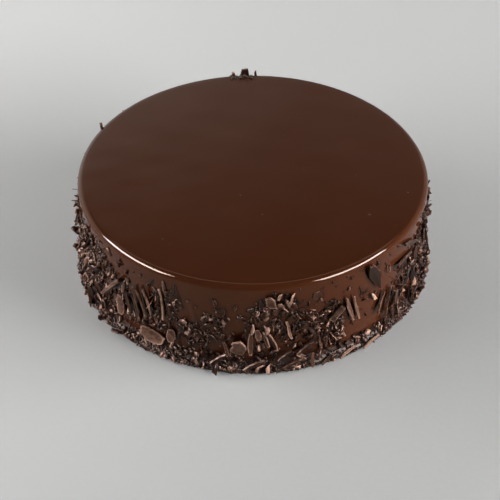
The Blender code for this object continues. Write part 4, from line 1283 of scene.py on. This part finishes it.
@dataclass
class FineShavings:
    """Thousands of slivers, chips and crumbs stuck between the larger shavings."""

    layout: Layout
    cover: Cover
    slivers: int = 3300
    chips: int = 1900
    crumbs: int = 2400
    foot_crumbs: int = 5200
    rim_chip_count: int = 46
    rim_chip_angles: tuple[float, float] = (-181.5, -172.0)
    rim_chip_reach: float = 0.0032
    sink: float = 0.00015
    floor_gap: float = 0.0003
    top: float = 0.057
    lean: float = math.radians(42)
    pitch: float = math.radians(21)
    turn: float = math.radians(40)

    def stuck(
        self,
        spots: tuple[Array, Array],
        length: Array,
        width: Array,
        thickness: Array,
        profile: tuple[float, ...],
        draw: np.random.Generator,
    ) -> Array:
        """Rings of many small shavings at once, each seated on the side.

        A shaving's own frame is turned by lean in the side's plane, by pitch out of it and by
        turn about its length; it is then moved along the side's normal until it is sunk in by
        sink, and up until it clears the floor.

        Args:
            spots: Angles in radians and heights.
            length: Length of each shaving.
            width: Full width of each.
            thickness: Thickness of each.
            profile: Width along a shaving, as shares of its full width.
            draw: Seeded generator.

        Returns:
            Array of shape (n, stations, 4, 3).
        """
        cake = self.layout.cake
        angle, height = spots
        count = len(angle)
        steps = np.linspace(-0.5, 0.5, len(profile))
        lean = draw.normal(0.0, self.lean, count)
        pitch = draw.normal(0.0, self.pitch, count)
        turn = draw.normal(0.0, self.turn, count)
        signs = np.array([(-1, -1), (1, -1), (1, 1), (-1, 1)]) / 2
        across = signs[None, None, :, 0] * width[:, None, None] * np.array(profile)[None, :, None]
        across = across * draw.uniform(0.45, 1.3, across.shape)
        across = across + (draw.normal(0, 0.10, (count, len(profile))) * width[:, None])[..., None]
        outward = signs[None, None, :, 1] * thickness[:, None, None] * np.ones((1, len(profile), 1))
        bow = draw.uniform(0.0, 0.10, count) * length
        outward = outward + (bow[:, None] * (2 * steps[None]) ** 2)[..., None]
        along = steps[None, :, None] * length[:, None, None] * np.ones((1, 1, 4))
        slant = draw.uniform(-0.55, 0.55, (count, len(profile), 1)) * np.sign(steps)[None, :, None] ** 2
        along = along + slant * across
        normal = np.stack([np.sin(angle), -np.cos(angle), np.zeros(count)], axis=1)
        tangent = np.stack([np.cos(angle), np.sin(angle), np.zeros(count)], axis=1)
        up = np.array([[0.0, 0.0, 1.0]])
        flat = tangent * np.sin(lean)[:, None] + up * np.cos(lean)[:, None]
        axis = flat * np.cos(pitch)[:, None] + normal * np.sin(pitch)[:, None]
        face = normal - axis * (normal * axis).sum(axis=1, keepdims=True)
        face = face / np.linalg.norm(face, axis=1, keepdims=True)
        side = np.cross(face, axis)
        turned = side * np.cos(turn)[:, None] + face * np.sin(turn)[:, None]
        face = face * np.cos(turn)[:, None] - side * np.sin(turn)[:, None]
        reach = cake.reach(angle, height)
        centre = normal * reach[:, None] + up * height[:, None]
        rings = centre[:, None, None, :] + across[..., None] * turned[:, None, None, :]
        rings = rings + outward[..., None] * face[:, None, None, :]
        rings = rings + along[..., None] * axis[:, None, None, :]
        level = np.clip(rings[..., 2], 0.0, cake.height)
        spot = np.arctan2(rings[..., 0], -rings[..., 1])
        gap = (np.hypot(rings[..., 0], rings[..., 1]) - cake.reach(spot, level)).min(axis=(1, 2))
        rings = rings - ((gap + self.sink)[:, None] * normal)[:, None, None, :]
        lift = np.maximum(0.0, self.floor_gap - rings[..., 2].min(axis=(1, 2)))
        rings[..., 2] += lift[:, None, None]
        return rings

    def piece(self, name: str, rings: Array, finish: bpy.types.Material, draw: np.random.Generator) -> Piece:
        """Joins many small shavings into one piece with a tone each."""
        count, stations, points = rings.shape[:3]
        mesh = write_mesh(name, rings.reshape(-1, 3), tube_faces(count, stations, points))
        tone = np.repeat(draw.beta(0.6, 1.1, count), stations * points)
        set_tone(mesh, tone + draw.uniform(-0.15, 0.45, len(tone)), self.layout.cake)
        return Piece(name, mesh, finish, Slot.SHAVINGS)

    def lumps(self, spots: tuple[Array, Array], size: Array, draw: np.random.Generator) -> Array:
        """Corners of many crumbs, octahedra with moved corners, shape (n, 6, 3)."""
        angle, height = spots
        reach = self.layout.cake.reach(angle, height) + draw.uniform(-0.1, 0.7, len(angle)) * size
        centre = on_side(angle, reach, height)
        shape = draw.uniform(0.5, 1.3, (len(angle), 1, 3)) * OCTAHEDRON[None]
        shape = shape + draw.uniform(-0.35, 0.35, (len(angle), 6, 3))
        spin = draw.normal(0.0, 1.0, (len(angle), 4))
        spin = spin / np.linalg.norm(spin, axis=1, keepdims=True)
        w, v = spin[:, None, :1], spin[:, None, 1:]
        twice = 2 * np.cross(v, shape)
        shape = shape + w * twice + np.cross(v, twice)
        points = centre[:, None] + shape * size[:, None, None]
        lift = np.maximum(0.0, self.floor_gap - points[..., 2].min(axis=1))
        points[..., 2] += lift[:, None]
        return points

    def rim_chips(self, draw: np.random.Generator) -> Array:
        """Corners of the small chips that lie over the rim and on the top at the back.

        With t from -1 to 1, a chip sits on the rounded rim at a height of top + t * rounding
        where t is below 0, and on the flat top, t * reach in from its edge, where it is above.
        """
        cake = self.layout.cake
        angle = np.radians(draw.uniform(*self.rim_chip_angles, self.rim_chip_count))
        size = draw.uniform(0.45, 1.25, self.rim_chip_count) * MM
        t = draw.uniform(-1.0, 1.0, self.rim_chip_count)
        points = self.lumps((angle, cake.height + np.minimum(t, 0.0) * cake.rim_rounding), size, draw)
        inward = np.maximum(t, 0.0) * self.rim_chip_reach
        points[..., 0] -= (inward * np.sin(angle))[:, None]
        points[..., 1] += (inward * np.cos(angle))[:, None]
        lowest = points[..., 2].min(axis=1)
        points[..., 2] += np.where(t > 0, cake.height - self.sink - lowest, 0.0)[:, None]
        return points

    def crumb_piece(
        self, name: str, points: Array, finish: bpy.types.Material, draw: np.random.Generator
    ) -> Piece:
        """Joins many crumbs into one piece."""
        sides = [(a, (a + 1) % 4, 4) for a in range(4)] + [((a + 1) % 4, a, 5) for a in range(4)]
        block = np.array(sides)[None] + np.arange(len(points))[:, None, None] * 6
        mesh = write_mesh(name, points.reshape(-1, 3), [block.reshape(-1, 3)])
        set_tone(mesh, np.repeat(draw.beta(1.2, 2.0, len(points)), 6), self.layout.cake)
        return Piece(name, mesh, finish, Slot.SHAVINGS)

    def build(
        self, finish: bpy.types.Material, foot_finish: bpy.types.Material, draw: np.random.Generator
    ) -> list[Piece]:
        """Returns the slivers, the chips, the crumbs of side and foot, and the rim's chips.

        Lengths and widths are drawn in mm: gamma draws for the sizes that vary most, even
        draws for the rest.
        """
        spots = self.cover.spots(self.slivers, self.top, draw)
        count = len(spots[0])
        length = draw.gamma(3.2, 0.95, count).clip(0.9, 8.0) * MM
        width = draw.uniform(0.35, 1.05, count) * MM
        slivers = self.stuck(spots, length, width, width * 0.6, (0.6, 1.0, 0.5), draw)
        spots = self.cover.spots(self.chips, self.top, draw)
        count = len(spots[0])
        width = draw.gamma(4.0, 0.48, count).clip(0.7, 4.6) * MM
        length = width * draw.uniform(0.9, 1.9, count)
        thin = draw.uniform(0.35, 0.75, count) * MM
        chips = self.stuck(spots, length, width, thin, (0.8, 1.0, 0.6), draw)
        spots = self.cover.spots(self.crumbs, self.top, draw)
        crumbs = self.lumps(spots, draw.uniform(0.25, 0.75, len(spots[0])) * MM, draw)
        angle = self.cover.foot_angles(self.foot_crumbs, draw)
        height = np.abs(draw.normal(0.0, 2.6, self.foot_crumbs)).clip(0.4, 8.0) * MM
        foot = self.lumps((angle, height), draw.uniform(0.4, 1.15, self.foot_crumbs) * MM, draw)
        return [
            self.piece("fine_slivers", slivers, finish, draw),
            self.piece("fine_chips", chips, finish, draw),
            self.crumb_piece("side_crumbs", crumbs, finish, draw),
            self.crumb_piece("foot_crumbs", foot, foot_finish, draw),
            self.crumb_piece("rim_chips", self.rim_chips(draw), finish, draw),
        ]


def facing(back: Vector) -> Matrix:
    """Turn of a light or a camera that stands in direction back of what it looks at."""
    return back.to_track_quat("Z", "Y").to_matrix().to_4x4()


@dataclass(frozen=True)
class Softbox:
    """One soft area light, placed by direction and distance from the cake."""

    name: str
    azimuth: float
    elevation: float
    distance: float
    size: tuple[float, float]
    watts: float
    tint: str = "ffffff"
    gloss_only: bool = False
    diffuse_only: bool = False

    def show(self) -> None:
        """Adds the light, turned towards the cake. Azimuth 0 is the camera's side."""
        a, e = math.radians(self.azimuth), math.radians(self.elevation)
        back = Vector((math.sin(a) * math.cos(e), -math.cos(a) * math.cos(e), math.sin(e)))
        light = bpy.data.lights.new(self.name, "AREA")
        light.shape = "RECTANGLE"
        light.size, light.size_y = self.size
        light.energy = self.watts
        light.color = srgb(self.tint)[:3]
        made = bpy.data.objects.new(self.name, light)
        made.matrix_world = Matrix.Translation(back * self.distance) @ facing(back)
        made.visible_diffuse = not self.gloss_only
        made.visible_glossy = not self.diffuse_only
        bpy.context.scene.collection.objects.link(made)


@dataclass(frozen=True)
class Studio:
    """Pale floor, soft light from both sides and a camera at the photograph's angle."""

    cake: CakeForm
    boxes: tuple[Softbox, ...] = (
        Softbox("softbox_left", -88.0, 15.5, 1.5, (1.5, 0.5), 54.0, diffuse_only=True),
        Softbox("softbox_right", 76.0, 14.0, 1.5, (1.5, 0.5), 88.0, diffuse_only=True),
        Softbox("strip_left", -77.0, 34.0, 1.5, (1.15, 0.50), 150.0, "d8e6ff", gloss_only=True),
        Softbox("strip_right", 63.0, 34.0, 1.5, (1.10, 0.50), 145.0, "d0e2ff", gloss_only=True),
        Softbox("strip_rear", 180.0, 62.0, 1.5, (1.6, 0.2), 3.6, gloss_only=True),
    )
    floor_size: float = 8.0
    sky_low: float = 0.60
    sky_left: float = 2.3
    sky_span: tuple[float, float] = (-0.16, 0.04)
    sky_rise: tuple[float, float] = (0.50, 0.70)
    sky_depth: tuple[float, float] = (-0.1, 0.5)
    sky_high: float = 0.05
    lens: float = 90.0
    sensor: float = 36.0
    distance: float = 7.564
    elevation: float = 41.05
    roll: float = -0.19
    aim: tuple[float, float, float] = (-0.016, 0.0, -0.025)

    def floor(self) -> None:
        """Adds the floor as stage."""
        half = self.floor_size / 2
        points = np.array([(-half, -half, 0), (half, -half, 0), (half, half, 0), (-half, half, 0)], float)
        mesh = write_mesh("floor", points, [np.array([[0, 1, 2, 3]])])
        mesh.materials.append(FloorFinish().make())
        made = bpy.data.objects.new("floor", mesh)
        bpy.context.scene.collection.objects.link(made)

    def sky(self) -> None:
        """Sets the room's own light: brighter low down behind the cake and towards the left.

        Strength goes from sky_high to sky_low as the direction's z falls over sky_rise and its
        y rises over sky_depth. It is then multiplied by sky_left down to 1 over sky_span in x.
        """
        world = bpy.data.worlds.new("studio_room")
        world.use_nodes = True
        tree = world.node_tree
        direction = add_node(tree, "ShaderNodeTexCoord", {}).outputs["Generated"]
        parts = add_node(tree, "ShaderNodeSeparateXYZ", {"Vector": direction}).outputs
        smooth = {"interpolation_type": "SMOOTHSTEP"}
        low = map_range(tree, parts["Z"], self.sky_rise, (1.0, 0.0), **smooth)
        behind = map_range(tree, parts["Y"], self.sky_depth, **smooth)
        share = math_node(tree, "MULTIPLY", low, behind)
        strength = map_range(tree, share, onto=(self.sky_high, self.sky_low))
        sides = map_range(tree, parts["X"], self.sky_span, (self.sky_left, 1.0))
        uneven = math_node(tree, "MULTIPLY", strength, sides)
        background = tree.nodes["Background"]
        background.inputs["Color"].default_value = srgb("ffffff")
        tree.links.new(uneven, background.inputs["Strength"])
        bpy.context.scene.world = world

    def camera(self) -> None:
        """Adds the camera at the photograph's place: distance and aim in cake radii."""
        scale = self.cake.radius
        e = math.radians(self.elevation)
        aim = Vector(self.aim) * scale
        back = Vector((0.0, -math.cos(e), math.sin(e)))
        data = bpy.data.cameras.new("photo_view")
        data.lens = self.lens
        data.sensor_width = self.sensor
        made = bpy.data.objects.new("photo_view", data)
        turned = facing(back) @ Matrix.Rotation(math.radians(self.roll), 4, "Z")
        made.matrix_world = Matrix.Translation(aim + back * self.distance * scale) @ turned
        bpy.context.scene.collection.objects.link(made)
        bpy.context.scene.camera = made

    def show(self) -> None:
        """Sets up the whole studio."""
        self.floor()
        self.sky()
        for box in self.boxes:
            box.show()
        self.camera()
        bpy.context.scene.view_settings.view_transform = "Standard"


def main() -> None:
    """Builds every piece in order, then the studio."""
    logging.basicConfig(level=logging.INFO, format="%(name)s %(message)s")
    draw = np.random.default_rng(LOOK_SEED)
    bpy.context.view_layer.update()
    cake = CakeForm()
    layout = Layout(cake, ShavingCutter(cake))
    layout.lay_out()
    glaze = GlazeFinish().make()
    chocolate = ShavingFinish().make()
    crumbled = ShavingFinish("crumbled_dark_chocolate", "0f0504", "301912", "84645a").make()
    pressed = PressedShavings(layout)
    pieces = LargeShavings(layout).build(chocolate, draw)
    pieces += [pressed.shavings(chocolate, draw), pressed.lumps(crumbled, draw)]
    pieces += FineShavings(layout, Cover(layout)).build(chocolate, crumbled, draw)
    body = PouredBody(cake)
    # Points of every shaving, for the painted shade between them on the glaze.
    near = np.concatenate([corners_in(piece.mesh) for piece in pieces])
    pieces += [body.build(glaze, near), body.bubbles(glaze, draw)]
    for piece in pieces:
        piece.show()
    Studio(cake).show()


if __name__ == "__main__":
    main()
